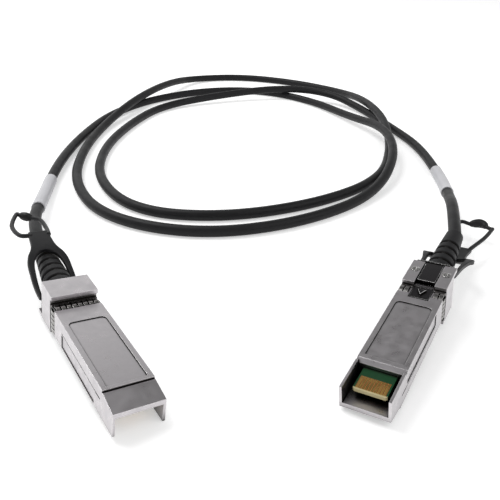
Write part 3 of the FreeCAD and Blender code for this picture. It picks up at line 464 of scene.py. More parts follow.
# Each finish's third colour paints its outer edges, partly wear and partly a painted highlight;
# on the dark latch steel the bright edges are a painted highlight.
CAST_ZINC = Finish("cast_zinc_satin", (0.60, 0.575, 0.59), (0.52, 0.50, 0.515),
                   (0.84, 0.83, 0.83), metallic=1.0, rough_low=0.26, rough_high=0.36,
                   grain_scale=2600.0, grain_deep=0.00002, grain_strength=0.35,
                   edge_radius=0.00016, hollow_shade=1.0, hollow_reach=0.0007, painted_cavity_shade=1.0)
SPRING_STEEL = Finish("spring_steel", (0.34, 0.33, 0.32), (0.24, 0.235, 0.23),
                      (0.80, 0.78, 0.76), metallic=1.0, rough_low=0.18, rough_high=0.28,
                      grain_scale=3000.0, edge_radius=0.00010, hollow_shade=0.6,
                      hollow_reach=0.0007)
LATCH_METAL = Finish("latch_steel", (0.10, 0.095, 0.10), (0.06, 0.057, 0.06),
                     (0.92, 0.91, 0.90), metallic=1.0, rough_low=0.16, rough_high=0.26,
                     grain_scale=2000.0, edge_radius=0.00026, hollow_shade=0.9)
SCREW_METAL = Finish("screw_nickel", (0.62, 0.61, 0.60), (0.45, 0.44, 0.43),
                     (0.95, 0.95, 0.93), metallic=1.0, rough_low=0.12, rough_high=0.22,
                     grain_scale=2400.0, edge_radius=0.00030)
GOLD_PLATE = Finish("contact_gold", (0.66, 0.42, 0.13), (0.58, 0.36, 0.10),
                    (0.98, 0.78, 0.45), metallic=1.0, rough_low=0.22, rough_high=0.34,
                    grain_scale=2500.0, edge_radius=0.00003)
CRIMP_METAL = Finish("crimp_brass", (0.55, 0.46, 0.30), (0.48, 0.40, 0.26),
                     (0.8, 0.7, 0.5), metallic=1.0, rough_low=0.3, rough_high=0.4)
WIRE_JACKET = Finish("pair_jacket", (0.72, 0.72, 0.70), (0.66, 0.66, 0.64),
                     (0.75, 0.75, 0.73), rough_low=0.4, rough_high=0.5)
BOOT_BLACK = Finish("moulded_black", (0.0085, 0.0085, 0.0095), (0.012, 0.012, 0.013),
                    (0.030, 0.030, 0.032), rough_low=0.44, rough_high=0.56,
                    grain_scale=2200.0, grain_deep=0.00003, grain_strength=0.4,
                    specular=0.16, hollow_shade=0.9, hollow_reach=0.0014)
TAB_BLACK = Finish("tab_black", (0.011, 0.011, 0.012), (0.015, 0.015, 0.016),
                   (0.035, 0.035, 0.038), rough_low=0.38, rough_high=0.48,
                   grain_scale=1800.0, grain_deep=0.00002, grain_strength=0.3,
                   specular=0.22)
JACKET_BLACK = Finish("cable_jacket", (0.0085, 0.0085, 0.0095), (0.012, 0.012, 0.013),
                      (0.015, 0.015, 0.016), rough_low=0.42, rough_high=0.54,
                      grain_scale=1500.0, grain_deep=0.00004, grain_strength=0.35,
                      edge_radius=0.00001, specular=0.20)
LABEL_FILM = Finish("label_film", (0.56, 0.56, 0.585), (0.53, 0.53, 0.555),
                    (0.62, 0.62, 0.64), rough_low=0.34, rough_high=0.42,
                    grain_scale=700.0, grain_deep=0.00001, grain_strength=0.2,
                    edge_radius=0.00005)
BOARD_GREEN = Finish("board_laminate", (0.006, 0.060, 0.018), (0.004, 0.045, 0.013),
                     (0.012, 0.08, 0.03), rough_low=0.25, rough_high=0.35, coat=0.4,
                     grain_scale=1400.0, edge_radius=0.00004, hollow_shade=0.6, specular=0.3)


@dataclass(frozen=True)
class BoardPaint:
    """Green laminate, bare copper-brown between the contacts and beige at the front.

    Each pair holds where a band is still bare and where it is full, in the plug's own
    millimetres: way from the nose for the front band and the contact bed, and way from the
    middle for the bed's half width.
    """

    laminate: Finish = BOARD_GREEN
    front_band: tuple[float, float] = (3.80, 3.70)
    contact_bed: tuple[float, float] = (8.25, 8.15)
    bed_half: tuple[float, float] = (4.12, 4.05)
    brown: tuple[float, float, float] = (0.30, 0.115, 0.028)
    beige: tuple[float, float, float] = (0.52, 0.45, 0.25)

    def build(self, place: "PlugFrame") -> bpy.types.Material:
        """Build one plug's board material.

        Args:
            place: the plug whose axes turn the bands.

        Returns:
            The material.
        """
        made = self.laminate.build()
        made.material.name = f"board_laminate_{place.name}"
        local = made.node("ShaderNodeMapping", {"vector_type": "TEXTURE"}, Vector=made.place())
        axes = Matrix(np.stack([place.rearward, place.across, place.up], axis=1).tolist())
        local.inputs["Location"].default_value = place.origin.tolist()
        local.inputs["Rotation"].default_value = axes.to_euler("XYZ")
        local.inputs["Scale"].default_value = (MM, MM, MM)
        split = made.node("ShaderNodeSeparateXYZ", Vector=local.outputs["Vector"])
        off = made.node("ShaderNodeMath", {"operation": "ABSOLUTE"}, _0=split.outputs["Y"])

        def band(source: bpy.types.NodeSocket,
                 edge: tuple[float, float]) -> bpy.types.NodeSocket:
            """Mask of one band: 0 at the edge's first value, 1 at its second."""
            ramp = made.node("ShaderNodeMapRange", Value=source, From_Min=edge[0],
                             From_Max=edge[1])
            return ramp.outputs["Result"]

        bed = made.node("ShaderNodeMath", {"operation": "MULTIPLY"},
                        _0=band(split.outputs["X"], self.contact_bed),
                        _1=band(off.outputs[0], self.bed_half))
        brown = made.node("ShaderNodeMix", {"data_type": "RGBA"}, _0=bed.outputs[0],
                          _6=made.colour, _7=(*self.brown, 1.0))
        beige = made.node("ShaderNodeMix", {"data_type": "RGBA"},
                          _0=band(split.outputs["X"], self.front_band),
                          _6=brown.outputs[2], _7=(*self.beige, 1.0))
        made.feed("Base Color", beige.outputs[2])
        return made.material


# ------------------------------------------------------------ the plugs

@dataclass(frozen=True)
class PlugFrame:
    """A plug's own axes: rearward, across and up, from its nose at its underside."""

    name: str
    origin: np.ndarray
    rearward: np.ndarray
    across: np.ndarray

    PIVOT_REACH: ClassVar[float] = 49.6
    PIVOT_HEIGHT: ClassVar[float] = 0.75

    @classmethod
    def from_record(cls, name: str) -> "PlugFrame":
        """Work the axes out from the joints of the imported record.

        Args:
            name: plug_a or plug_b.

        Returns:
            The plug's axes.
        """
        joints = {joint["name"]: joint for joint in frame["record"]["behaviour"]["joints"]}
        slide = np.array(joints[f"{name}_release_pull"]["axis"], float)
        hinge = joints[f"{name}_latch_tilt"]
        across = np.array(hinge["axis"], float)
        pivot = np.array(hinge["pos_m"], float)
        slide /= np.linalg.norm(slide)
        across /= np.linalg.norm(across)
        up = np.cross(slide, across)
        origin = pivot - (slide * cls.PIVOT_REACH + up * cls.PIVOT_HEIGHT) * MM
        return cls(name, origin, slide, across)

    @property
    def up(self) -> np.ndarray:
        """Direction away from the latch side."""
        return np.cross(self.rearward, self.across)

    def at(self, local: np.ndarray) -> np.ndarray:
        """Turn points in the plug's millimetres into the part's metres."""
        axes = np.stack([self.rearward, self.across, self.up])
        return self.origin + np.asarray(local, float) @ axes * MM


@dataclass
class Housing:
    """The castings, springs, board and latch pieces, which keep their own solids."""

    place: PlugFrame
    finishes: dict[str, bpy.types.Material]

    def dress(self) -> None:
        """Give every solid of the plug its finish."""
        for part, finish in self.finishes.items():
            node = frame["nodes"][f"{self.place.name}_{part}"]
            dress(node, finish)


def dress(piece: bpy.types.Object, finish: bpy.types.Material) -> None:
    """Put one finish on a piece."""
    piece.data.materials.clear()
    piece.data.materials.append(finish)


@dataclass
class Slider:
    """The folded sheet slider: channel plate, two lips, rear flange, posts and front tab."""

    place: PlugFrame
    finish: bpy.types.Material
    front: float = 50.9
    rear: float = 61.5
    low: float = -1.1
    half: float = 2.7
    sheet: float = 0.45
    lip_high: float = 0.9
    post_inner: float = 5.0
    post_top: float = 2.6
    flange_half: float = 5.9
    flange_top: float = -0.1
    rim_half: float = 4.2
    rim_drop: float = 0.25
    tab_half: float = 0.8
    tab_top: float = 1.65
    lap: float = 0.02

    PICK_REACH: ClassVar[list[int]] = [0, 1, 1, 0, 0, 1, 1, 0]
    PICK_ACROSS: ClassVar[list[int]] = [2, 2, 3, 3, 2, 2, 3, 3]
    PICK_HEIGHT: ClassVar[list[int]] = [4, 4, 4, 4, 5, 5, 5, 5]
    BOX_FACES: ClassVar[np.ndarray] = np.array([[0, 1, 5, 4], [1, 2, 6, 5], [2, 3, 7, 6],
                                                [3, 0, 4, 7], [3, 2, 1, 0], [4, 5, 6, 7]])

    def strips(self) -> np.ndarray:
        """Lows and highs of every flat strip, in the plug's millimetres.

        Returns:
            A row for each strip: reach from and to, across from and to, height from and to.
        """
        top, tail = self.low + self.sheet, self.rear - self.sheet
        rows = [(self.front, self.rear, -self.half, self.half, self.low, top)]
        for side in (1, -1):
            low, high = sorted((side * self.half, side * (self.half - self.sheet)))
            rows.append((self.front, self.rear, low, high, top - self.lap, top + self.lip_high))
            low, high = sorted((side * self.post_inner, side * self.flange_half))
            rows.append((tail, self.rear, low, high, top - self.lap, self.post_top))
        rows += [
            (tail, self.rear, -self.flange_half, self.flange_half, self.low, self.flange_top),
            (tail, self.rear, -self.rim_half, self.rim_half, self.low - self.rim_drop,
             self.low + self.lap),
            (self.front, self.front + self.sheet, -self.tab_half, self.tab_half,
             top - self.lap, self.tab_top),
        ]
        return np.array(rows)

    def build(self) -> bpy.types.Object:
        """Build the slider from sheet strips that share their bends.

        Formula: each strip is a box, whose eight corners pick their reach, across and height
        from the strip's row.

        Returns:
            The piece.
        """
        strips = self.strips()
        points = np.stack([strips[:, self.PICK_REACH], strips[:, self.PICK_ACROSS],
                           strips[:, self.PICK_HEIGHT]], axis=-1).reshape(-1, 3)
        first = 8 * np.arange(len(strips))[:, None, None]
        faces = (self.BOX_FACES + first).reshape(-1, 4).tolist()
        made = piece_of(f"{self.place.name}_slider_sheet", self.place.at(points), faces,
                        smooth=False)
        dress(made, self.finish)
        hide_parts(f"{self.place.name}_release_slider")
        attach(made, f"{self.place.name}_release")
        return made


@dataclass
class Boot:
    """The ribbed strain relief: a plain collar, then a bent taper with side grooves."""

    place: PlugFrame
    finish: bpy.types.Material
    bend: float
    front: float = 55.3
    face: float = 57.4
    axis: float = 5.0
    length: float = 33.0
    collar: float = 4.0
    root_radius: float = 4.75
    neck_radius: float = 3.55
    end_radius: float = 3.05
    face_round: float = 0.45
    tip_round: float = 0.7
    tip_run: float = 1.0
    groove_first: float = 6.15
    groove_pitch: float = 4.2
    groove_floor_half: float = 0.544
    groove_half: float = 0.85
    groove_deep: float = 1.0
    grooves: int = 5
    web_share: float = 0.55
    web_edges: tuple[float, float] = (0.30, 0.10)
    bend_run: tuple[float, float] = (2.0, 7.0)
    sides: int = 72

    def radius(self, along: np.ndarray, angle: np.ndarray) -> np.ndarray:
        """Radius over the surface.

        Formula: a taper from root to end, less a groove depth times a row of smooth dips
        along the boot, each full at the sides and shallower over the top and bottom webs.

        Args:
            along: way from the boot's face, in millimetres.
            angle: angle round the boot, in radians.

        Returns:
            One radius for each way and angle, in millimetres.
        """
        share = np.clip((along - self.collar) / (self.length - self.collar), 0.0, 1.0)
        base = self.root_radius + (self.end_radius - self.root_radius) * share
        base = np.where(along < 0, self.neck_radius, base)
        base = base - self.face_round * smooth_step(self.face_round, 0.0, along) * (along >= 0)
        base = base - self.tip_round * smooth_step(self.length - self.tip_run, self.length, along)
        middles = self.groove_first + self.groove_pitch * np.arange(self.grooves)
        away = np.abs(along[:, None] - middles[None, :])
        dip = 1.0 - smooth_step(self.groove_floor_half, self.groove_half, away)
        dip = dip.max(axis=1)
        web = 1.0 - self.web_share * smooth_step(*self.web_edges, np.abs(np.cos(angle)))
        return base[:, None] - self.groove_deep * dip[:, None] * web[None, :]

    def build(self) -> bpy.types.Object:
        """Build the boot.

        Formula: rings follow a centre line that turns aside by the bend over its first
        stretch; two rings stand almost together at the face, where the neck steps out.

        Returns:
            The piece.
        """
        reach = np.concatenate([np.linspace(self.front - self.face, -0.001, 6),
                                np.linspace(0.0, self.length, 300)])
        angle = np.linspace(0.0, 2 * math.pi, self.sides, endpoint=False)
        turned = math.radians(self.bend) * smooth_step(*self.bend_run, reach)
        steps = np.gradient(reach)
        along = self.face + reach[0] + np.cumsum(steps * np.cos(turned)) - steps[0]
        sideways = np.cumsum(steps * np.sin(turned))
        path = np.stack([along, sideways, np.full_like(along, self.axis)], axis=1)
        rings = tube_rings(path, self.radius(reach, angle), self.sides)
        made = skin(f"{self.place.name}_boot_moulding", self.place.at(rings), Ends.CAPPED)
        dress(made, self.finish)
        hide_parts(f"{self.place.name}_boot")
        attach(made, "harness")
        return made


@dataclass(frozen=True)
class Strand:
    """The finger loop's points, and the numbers of the two where its grip starts and ends."""

    points: Sequence[tuple[float, float, float]]
    grip_from: int
    grip_to: int
    grip_radius: float


@dataclass(frozen=True)
class ForkShape:
    """The fork in its plug's millimetres: half outlines, rise of its top and its lean.

    Outer and inner give the half width for each way from the nose, and rise the height.
    """

    outer: Sequence[tuple[float, float]]
    inner: Sequence[tuple[float, float]]
    rise: Sequence[tuple[float, float]]
    lean: float


@dataclass
class PullTab:
    """The moulded pull tab: curved fork, yoke and a finger loop with a thick grip."""

    place: PlugFrame
    finish: bpy.types.Material
    loop: Strand
    shape: ForkShape
    thick: float = 1.6
    edge_soft: float = 0.36
    strand: float = 0.75
    strand_sides: int = 28
    arm_places: int = 44
    yoke_places: int = 30

    def fork(self) -> bpy.types.Object:
        """Build the fork and yoke as a bent plate with soft edges.

        Formula: both half outlines run smoothly through their points and are mirrored; past
        the crotch the halves share their middle, so the yoke is one plate; every point moves
        across by the lean times the square of its share of the way to the yoke's end, and
        stands at the height that the rise table gives for its way from the nose.

        Returns:
            The piece.
        """
        outer = threaded_path(np.array(self.shape.outer, float), 8)
        inner = threaded_path(np.array(self.shape.inner, float), 8)
        start, end = outer[0, 0], outer[-1, 0]
        rise = threaded_path(np.array(self.shape.rise, float), 12)

        def laid(across: np.ndarray, along: np.ndarray, drop: float) -> np.ndarray:
            """Points of an edge that lies a drop below the plate's top, square to its slope."""
            lean = self.shape.lean * ((along - start) / (end - start)) ** 2
            height = np.interp(along, rise[:, 0], rise[:, 1])
            slope = np.interp(along, rise[:, 0], np.gradient(rise[:, 1], rise[:, 0]))
            tilt = np.arctan(slope)
            return np.stack([np.maximum(along + drop * np.sin(tilt), start), across + lean,
                             height - drop * np.cos(tilt)], axis=-1)

        crotch = inner[-1, 0]
        reach = np.concatenate([np.linspace(start, crotch, self.arm_places),
                                np.linspace(crotch, end, self.yoke_places)[1:]])
        wide = np.interp(reach, outer[:, 0], outer[:, 1])
        notch = np.interp(reach, inner[:, 0], inner[:, 1])
        rings = []
        for side in (1, -1):
            low, high = side * notch, side * wide
            rings.append(np.stack([laid(low, reach, 0.0), laid(high, reach, 0.0),
                                   laid(high, reach, self.thick),
                                   laid(low, reach, self.thick)], axis=1))
        return self.join_arms(np.stack(rings), self.arm_places - 1)

    def join_arms(self, rings: np.ndarray, crotch: int) -> bpy.types.Object:
        """Join both arms' four-cornered rings into one closed plate and soften its edges.

        Formula: walls join neighbouring rings of each arm; from the crotch on both arms use
        the same inner corners and have no inner wall; a face closes each arm's front and one
        six-cornered face closes the yoke's end.

        Args:
            rings: points, indexed by arm, place, corner and axis; corner 0 and 3 are inner.
            crotch: place from which both arms share their inner corners.

        Returns:
            The piece.
        """
        places = rings.shape[1]
        index = np.arange(2 * places * 4).reshape(2, places, 4)
        index[1, crotch:, 0], index[1, crotch:, 3] = index[0, crotch:, 0], index[0, crotch:, 3]
        faces = []
        for arm, ring in enumerate(index):
            ahead = np.roll(ring, -1, axis=1)
            quads = np.stack([ring[:-1], ahead[:-1], ahead[1:], ring[1:]], axis=-1)
            kept = np.concatenate([quads[:, :3].reshape(-1, 4), quads[:crotch, 3]])
            faces += (kept[:, ::-1] if arm else kept).tolist()
            faces.append((ring[0] if arm else ring[0][::-1]).tolist())
        left, right = index[0, -1], index[1, -1]
        faces.append([left[0], left[1], left[2], left[3], right[2], right[1]])
        used, where = np.unique(np.concatenate([np.array(face) for face in faces]),
                                return_inverse=True)
        sizes = np.cumsum([len(face) for face in faces])[:-1]
        packed = [part.tolist() for part in np.split(where, sizes)]
        points = self.place.at(rings.reshape(-1, 3))[used]
        made = piece_of(f"{self.place.name}_tab_fork", points, packed)
        bevel = made.modifiers.new("soft_edges", "BEVEL")
        bevel.width = self.edge_soft * MM
        bevel.segments = 3
        bevel.limit_method = "ANGLE"
        bevel.angle_limit = math.radians(50)
        bevel.harden_normals = True
        return made

    def pull_loop(self) -> bpy.types.Object:
        """Build the loop: a thin strand whose radius swells softly at the grip.

        Formula: the swell is a half wave of a sine between the grip's two points, raised to
        a power of 0.6 so that it fills out towards a half disc.

        Returns:
            The piece.
        """
        samples = 24
        path = threaded_path(np.array(self.loop.points, float), samples)
        place = np.arange(len(path)) / samples
        share = np.clip((place - self.loop.grip_from)
                        / (self.loop.grip_to - self.loop.grip_from), 0.0, 1.0)
        swell = np.sin(math.pi * share) ** 0.6
        radius = self.strand + (self.loop.grip_radius - self.strand) * swell
        rings = tube_rings(path, radius, self.strand_sides)
        return skin(f"{self.place.name}_tab_loop", self.place.at(rings), Ends.CAPPED)

    def build(self) -> list[bpy.types.Object]:
        """Build fork and loop and hang them on the sliding body.

        Returns:
            Both pieces.
        """
        made = [self.fork(), self.pull_loop()]
        for piece in made:
            dress(piece, self.finish)
            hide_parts(f"{self.place.name}_pull_tab")
            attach(piece, f"{self.place.name}_release")
        return made


# ------------------------------------------------------------ the cable

# Corners of the cable's route in metres, from boot A's end to boot B's. The curve runs close
# by them: it is a quadratic NURBS curve that starts and ends on its end points.
ROUTE = (
    (-0.07629, 0.02341, 0.00770), (-0.08704, 0.04261, 0.00801), (-0.09480, 0.07740, 0.00300),
    (-0.10180, 0.11940, 0.00290), (-0.10280, 0.16540, 0.00230), (-0.09680, 0.21140, 0.00230),
    (-0.07680, 0.24940, 0.00230), (-0.04180, 0.27640, 0.00230), (-0.00280, 0.27940, 0.00230),
    (0.03120, 0.25340, 0.00230), (0.05220, 0.21340, 0.00350), (0.06720, 0.17240, 0.00960),
    (0.06620, 0.13040, 0.00820), (0.05020, 0.09140, 0.00230), (0.01520, 0.06040, 0.00230),
    (-0.02580, 0.04740, 0.00230), (-0.06580, 0.06140, 0.00230), (-0.08780, 0.09740, 0.00230),
    (-0.09580, 0.14140, 0.00230), (-0.09580, 0.18540, 0.00230), (-0.08480, 0.22940, 0.00740),
    (-0.07080, 0.27540, 0.00740), (-0.05580, 0.31240, 0.00230), (-0.01980, 0.32140, 0.00230),
    (0.02020, 0.30740, 0.00230), (0.05320, 0.28140, 0.00230), (0.06520, 0.23940, 0.00740),
    (0.07120, 0.19340, 0.00740), (0.06720, 0.14940, 0.00230), (0.05420, 0.10840, 0.00230),
    (0.02220, 0.07940, 0.00230), (-0.01780, 0.06340, 0.00230), (-0.05480, 0.06840, 0.00230),
    (-0.07880, 0.10340, 0.00230), (-0.08580, 0.14740, 0.00230), (-0.08080, 0.19140, 0.00230),
    (-0.06880, 0.23140, 0.00230), (-0.03280, 0.25440, 0.00450), (0.00920, 0.26840, 0.00740),
    (0.04320, 0.26140, 0.00660), (0.06420, 0.23240, 0.00230), (0.07520, 0.19640, 0.00230),
    (0.08420, 0.16040, 0.00290), (0.08520, 0.11740, 0.00290), (0.08020, 0.08240, 0.00700),
    (0.07369, 0.05350, 0.01400), (0.06894, 0.03263, 0.01237),
)


@dataclass
class CableRun:
    """The round cable and the two blank sleeves on it."""

    jacket: bpy.types.Material
    film: bpy.types.Material
    radius: float = 0.0023
    length: float = 1.87
    sleeve_radius: float = 0.00272
    sleeve_inner: float = 0.002277
    sleeve_length: float = 0.037
    sleeve_sides: int = 48
    sleeve_rings: int = 80
    sleeve_starts: tuple[float, float] = (0.042, 0.0545)

    def spline(self, name: str, bevel: float) -> bpy.types.Object:
        """Make the route's smooth curve.

        Args:
            name: the piece's name.
            bevel: radius of the round section, 0 for none.

        Returns:
            The curve piece.
        """
        curve = bpy.data.curves.new(name, "CURVE")
        curve.dimensions = "3D"
        curve.resolution_u = 14
        curve.bevel_depth = bevel
        curve.bevel_resolution = 7
        curve.use_fill_caps = True
        line = curve.splines.new("NURBS")
        line.points.add(len(ROUTE) - 1)
        for point, corner in zip(line.points, ROUTE):
            point.co = (*corner, 1.0)
        line.order_u = 3
        line.use_endpoint_u = True
        made = bpy.data.objects.new(name, curve)
        bpy.context.scene.collection.objects.link(made)
        return made

    def centre_line(self) -> np.ndarray:
        """Points read off the route's curve.

        Returns:
            The points, from boot A to boot B.
        """
        bare = self.spline("route_line", 0.0)
        bpy.context.view_layer.update()
        mesh = bpy.data.meshes.new_from_object(bare.evaluated_get(
            bpy.context.evaluated_depsgraph_get()))
        points = np.empty(len(mesh.vertices) * 3)
        mesh.vertices.foreach_get("co", points)
        bpy.data.meshes.remove(mesh)
        bpy.data.objects.remove(bare)
        points = points.reshape(-1, 3)
        start = np.array(ROUTE[0])
        if np.linalg.norm(points[0] - start) > np.linalg.norm(points[-1] - start):
            points = points[::-1]
        return points

    def sleeve(self, name: str, line: np.ndarray, start: float) -> bpy.types.Object:
        """Wrap a thin sleeve round the cable.

        Formula: rings round the centre line whose radius runs out, along and back in again,
        so the film has a wall and two flat ends.

        Args:
            name: the piece's name.
            line: points of the cable's centre line, from the sleeve's own plug on.
            start: way along the line at which the sleeve starts, in metres.

        Returns:
            The piece.
        """
        steps = np.concatenate([[0.0], np.cumsum(np.linalg.norm(np.diff(line, axis=0), axis=1))])
        wanted = start + np.linspace(0.0, self.sleeve_length, self.sleeve_rings)
        path = np.stack([np.interp(wanted, steps, line[:, axis]) for axis in range(3)], axis=1)
        outer = tube_rings(path, np.full(len(path), self.sleeve_radius), self.sleeve_sides)
        inner = tube_rings(path, np.full(len(path), self.sleeve_inner), self.sleeve_sides)
        return skin(name, np.concatenate([outer, inner[::-1]]), Ends.JOINED)

    def build(self) -> list[bpy.types.Object]:
        """Returns:
            The cable and its two sleeves.
        """
        cable = self.spline("cable_jacket_run", self.radius)
        cable.data.materials.append(self.jacket)
        line = self.centre_line()
        sleeves = []
        for end, run, start in zip("ab", (line, line[::-1]), self.sleeve_starts):
            made = self.sleeve(f"label_sleeve_{end}_film", run, start)
            dress(made, self.film)
            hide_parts(f"label_sleeve_{end}")
            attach(made, "harness")
            sleeves.append(made)
        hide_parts("cable")
        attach(cable, "harness")
        return [cable, *sleeves]


# ------------------------------------------------------------ studio and camera

@dataclass
class Studio:
    """Pale floor, soft light and the camera."""

    height: float = 0.10968
    back: float = -0.1616
    side: float = 0.0012
    pitch: float = 27.75
    roll: float = -1.47
    lens: float = 43.71
    shift: tuple[float, float] = (-0.0306, -0.0144)
    floor_half: float = 12.0
    floor_drop: float = 0.00002
    floor_glow: float = 0.42
    room_base: float = 0.95
    room_top: float = 0.5
    room_steps: tuple[tuple[float, float], ...] = ((0.50, 0.95), (0.65, 0.10), (0.84, 0.20))
    room_sides: tuple[float, float] = (1.1, 0.75)

    def camera(self) -> None:
        """Stand the camera in front of the plugs, looking down over the loops."""
        pitch, roll = math.radians(self.pitch), math.radians(self.roll)
        ahead = np.array([0.0, math.cos(pitch), -math.sin(pitch)])
        right, down = np.array([1.0, 0, 0]), np.array([0.0, -math.sin(pitch), -math.cos(pitch)])
        right, down = (math.cos(roll) * right + math.sin(roll) * down,
                       -math.sin(roll) * right + math.cos(roll) * down)
        turn = Matrix(np.stack([right, -down, -ahead], axis=1).tolist()).to_4x4()
        data = bpy.data.cameras.new("studio_camera")
        data.lens, data.sensor_width = self.lens, 36.0
        data.shift_x, data.shift_y = self.shift
        data.clip_start, data.clip_end = 0.005, 100.0
        made = bpy.data.objects.new("studio_camera", data)
        made.matrix_world = Matrix.Translation((self.side, self.back, self.height)) @ turn
        bpy.context.scene.collection.objects.link(made)
        bpy.context.scene.camera = made

    def floor(self) -> None:
        """Lay a wide pale floor that reads as white and keeps the shadow."""
        half, low = self.floor_half, -self.floor_drop
        corners = [(-half, -half, low), (half, -half, low), (half, half, low), (-half, half, low)]
        mesh = bpy.data.meshes.new("floor")
        mesh.from_pydata(corners, [], [(0, 1, 2, 3)])
        made = bpy.data.objects.new("floor", mesh)
        bpy.context.scene.collection.objects.link(made)
        paint = Recipe("floor_paint")
        paint.plain(Base_Color=(0.86, 0.86, 0.86, 1.0), Roughness=0.9,
                    Emission_Color=(1.0, 1.0, 1.0, 1.0), Specular_IOR_Level=0.1)
        rays = paint.node("ShaderNodeLightPath")
        seen = paint.node("ShaderNodeMath", {"operation": "MAXIMUM"},
                          _0=rays.outputs["Is Camera Ray"], _1=rays.outputs["Is Glossy Ray"])
        glow = paint.node("ShaderNodeMath", {"operation": "MULTIPLY"},
                          _0=seen.outputs[0], _1=self.floor_glow)
        paint.feed("Emission Strength", glow.outputs[0])
        dress(made, paint.material)

    def world(self) -> None:
        """Surround the part with a pale room: bright low down, dim above, brighter on top.

        Formula: the light at a direction is a row of steps over its height, times a factor
        that falls from the left side to the right; the camera itself sees plain white.
        """
        world = bpy.data.worlds.new("pale_room")
        bpy.context.scene.world = world
        world.use_nodes = True
        tree = world.node_tree
        tree.nodes.clear()
        where = add_node(tree, "ShaderNodeTexCoord")
        split = add_node(tree, "ShaderNodeSeparateXYZ", Vector=where.outputs["Generated"])
        height = add_node(tree, "ShaderNodeValToRGB", Fac=split.outputs["Z"])
        ramp = height.color_ramp.elements
        for place, light in self.room_steps:
            ramp.new(place).color = (light, light, light, 1.0)
        ramp[0].color, ramp[-1].color = (*[self.room_base] * 3, 1.0), (*[self.room_top] * 3, 1.0)
        across = add_node(tree, "ShaderNodeMapRange", Value=split.outputs["X"],
                          From_Min=-0.25, From_Max=0.25, To_Min=self.room_sides[0],
                          To_Max=self.room_sides[1])
        level = add_node(tree, "ShaderNodeMath", {"operation": "MULTIPLY"},
                         _0=height.outputs["Color"], _1=across.outputs["Result"])
        rays = add_node(tree, "ShaderNodeLightPath")
        seen = add_node(tree, "ShaderNodeMix", {"data_type": "FLOAT"},
                        _0=rays.outputs["Is Camera Ray"], _2=level.outputs[0], _3=1.0)
        back = add_node(tree, "ShaderNodeBackground", Color=(1.0, 1.0, 1.0, 1.0),
                        Strength=seen.outputs[0])
        out = add_node(tree, "ShaderNodeOutputWorld")
        tree.links.new(back.outputs[0], out.inputs["Surface"])

    def lamp(self, name: str, where: tuple[float, float, float],
             aim: tuple[float, float, float], size: float, power: float) -> None:
        """Hang one square soft lamp.

        Args:
            name: the lamp's name.
            where: its place in metres.
            aim: the point it faces.
            size: its side in metres.
            power: its power in watts.
        """
        data = bpy.data.lights.new(name, "AREA")
        data.size, data.energy = size, power
        made = bpy.data.objects.new(name, data)
        run = np.array(aim, float) - np.array(where, float)
        run /= np.linalg.norm(run)
        side = np.cross(run, (0.0, 0.0, 1.0))
        side /= np.linalg.norm(side)
        turn = Matrix(np.stack([side, np.cross(side, run), -run], axis=1).tolist()).to_4x4()
        made.matrix_world = Matrix.Translation(where) @ turn
        bpy.context.scene.collection.objects.link(made)

    def build(self) -> None:
        """Build floor, room, lamps and camera."""
        self.camera()
        self.floor()
        self.world()
        self.lamp("key_lamp", (-0.5, 0.35, 0.9), (0.0, 0.08, 0.0), 0.6, 6.0)
        self.lamp("fill_lamp", (0.7, -0.2, 0.8), (0.0, 0.08, 0.0), 0.8, 3.0)
        bpy.context.scene.view_settings.view_transform = "Standard"


# ------------------------------------------------------------ everything in order

@dataclass(frozen=True)
class PlugShape:
    """What differs between the two plugs: boot's bend in degrees, finger loop and fork."""

    bend: float
    loop: Strand
    fork: ForkShape


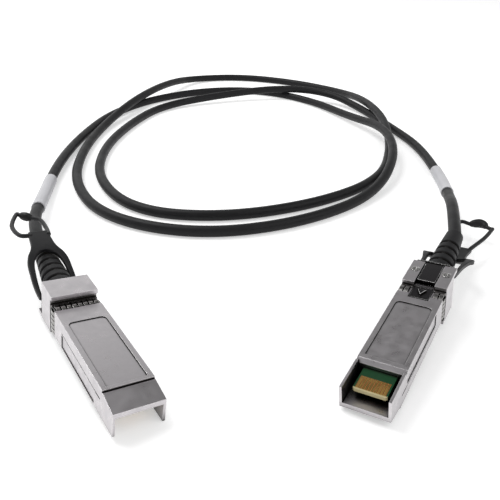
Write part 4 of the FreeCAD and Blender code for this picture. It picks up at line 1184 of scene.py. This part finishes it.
PLUGS = {
    "plug_a": PlugShape(
        bend=-5.0,
        loop=Strand(
            points=((88.0, 1.4, 11.7), (90.2, 4.9, 11.3), (98.8, 5.3, 10.9), (108.4, 1.6, 10.7),
                    (107.8, 0.4, 10.7), (105.9, -1.3, 10.7), (104.4, -2.9, 10.7),
                    (101.3, -5.1, 10.8), (94.0, -5.0, 11.0), (87.6, -4.0, 11.7)),
            grip_from=4, grip_to=6, grip_radius=1.6),
        fork=ForkShape(
            outer=((61.5, 6.3), (64.0, 6.6), (67.5, 6.75), (71.0, 6.7), (74.5, 6.55), (77.5, 5.8),
                   (80.0, 4.5), (82.5, 3.8), (86.0, 3.5), (90.0, 3.2)),
            inner=((61.5, 5.3), (66.0, 5.2), (70.0, 5.0), (73.5, 4.6), (76.5, 3.6), (78.8, 1.7),
                   (79.6, 0.0)),
            rise=((61.5, 3.4), (66.0, 4.9), (71.0, 7.2), (76.0, 9.3), (80.0, 10.7), (84.0, 11.5),
                  (90.0, 12.3)),
            lean=-1.0)),
    "plug_b": PlugShape(
        bend=-2.0,
        loop=Strand(
            points=((90.0, 3.0, 11.7), (94.6, 4.3, 11.6), (104.3, 6.8, 12.3), (112.8, 7.9, 13.0),
                    (113.4, 7.6, 13.1), (114.4, 5.6, 13.1), (115.9, 4.2, 13.1),
                    (116.35, 2.5, 13.1), (115.6, 0.7, 13.1), (114.8, -1.0, 13.1),
                    (114.6, -4.6, 13.0), (103.0, -5.2, 12.3), (88.0, -2.4, 11.7)),
            grip_from=5, grip_to=9, grip_radius=1.75),
        fork=ForkShape(
            outer=((61.5, 6.4), (66.0, 6.7), (70.0, 7.0), (74.0, 7.8), (77.3, 8.7), (78.6, 8.0),
                   (80.4, 5.4), (83.0, 4.3), (86.5, 4.0), (90.0, 4.1), (93.5, 4.5)),
            inner=((61.5, 5.3), (66.0, 5.5), (70.0, 5.7), (74.0, 6.0), (76.5, 5.8), (78.8, 3.4),
                   (80.2, 1.2), (80.7, 0.0)),
            rise=((61.5, 3.4), (66.0, 4.3), (70.0, 5.1), (74.0, 5.9), (77.0, 6.9), (79.0, 8.7),
                  (81.0, 10.5), (84.0, 11.4), (90.0, 12.3), (93.5, 12.7)),
            lean=0.3)),
}


def main() -> None:
    """Build the studio, the cord, both plugs and their finishes."""
    logging.basicConfig(level=logging.INFO, format="%(name)s: %(message)s")
    Studio().build()
    LOG.info("studio and camera stand")
    for piece in CableRun(JACKET_BLACK.build().material, LABEL_FILM.build().material).build():
        LOG.info("made %s", piece.name)
    zinc = CAST_ZINC.build().material
    steel = SPRING_STEEL.build().material
    latch = LATCH_METAL.build().material
    screw = SCREW_METAL.build().material
    finishes = {
        "top_cover": zinc, "bottom_shell": zinc, "emi_collar": steel, "latch_pin": steel,
        "return_spring": steel, "latch_lever": latch,
        "left_screw": screw, "right_screw": screw,
        "contact_pads": GOLD_PLATE.build().material, "crimp_ring": CRIMP_METAL.build().material,
        "signal_wires": WIRE_JACKET.build().material,
    }
    boot_black, tab_black = BOOT_BLACK.build().material, TAB_BLACK.build().material
    for name, shape in PLUGS.items():
        place = PlugFrame.from_record(name)
        board = {"circuit_board": BoardPaint().build(place)}
        Housing(place, finishes | board).dress()
        LOG.info("made %s", Slider(place, latch).build().name)
        LOG.info("dressed %s", name)
        LOG.info("made %s", Boot(place, boot_black, shape.bend).build().name)
        for piece in PullTab(place, tab_black, shape.loop, shape.fork).build():
            LOG.info("made %s", piece.name)


if __name__ == "__main__":
    main()
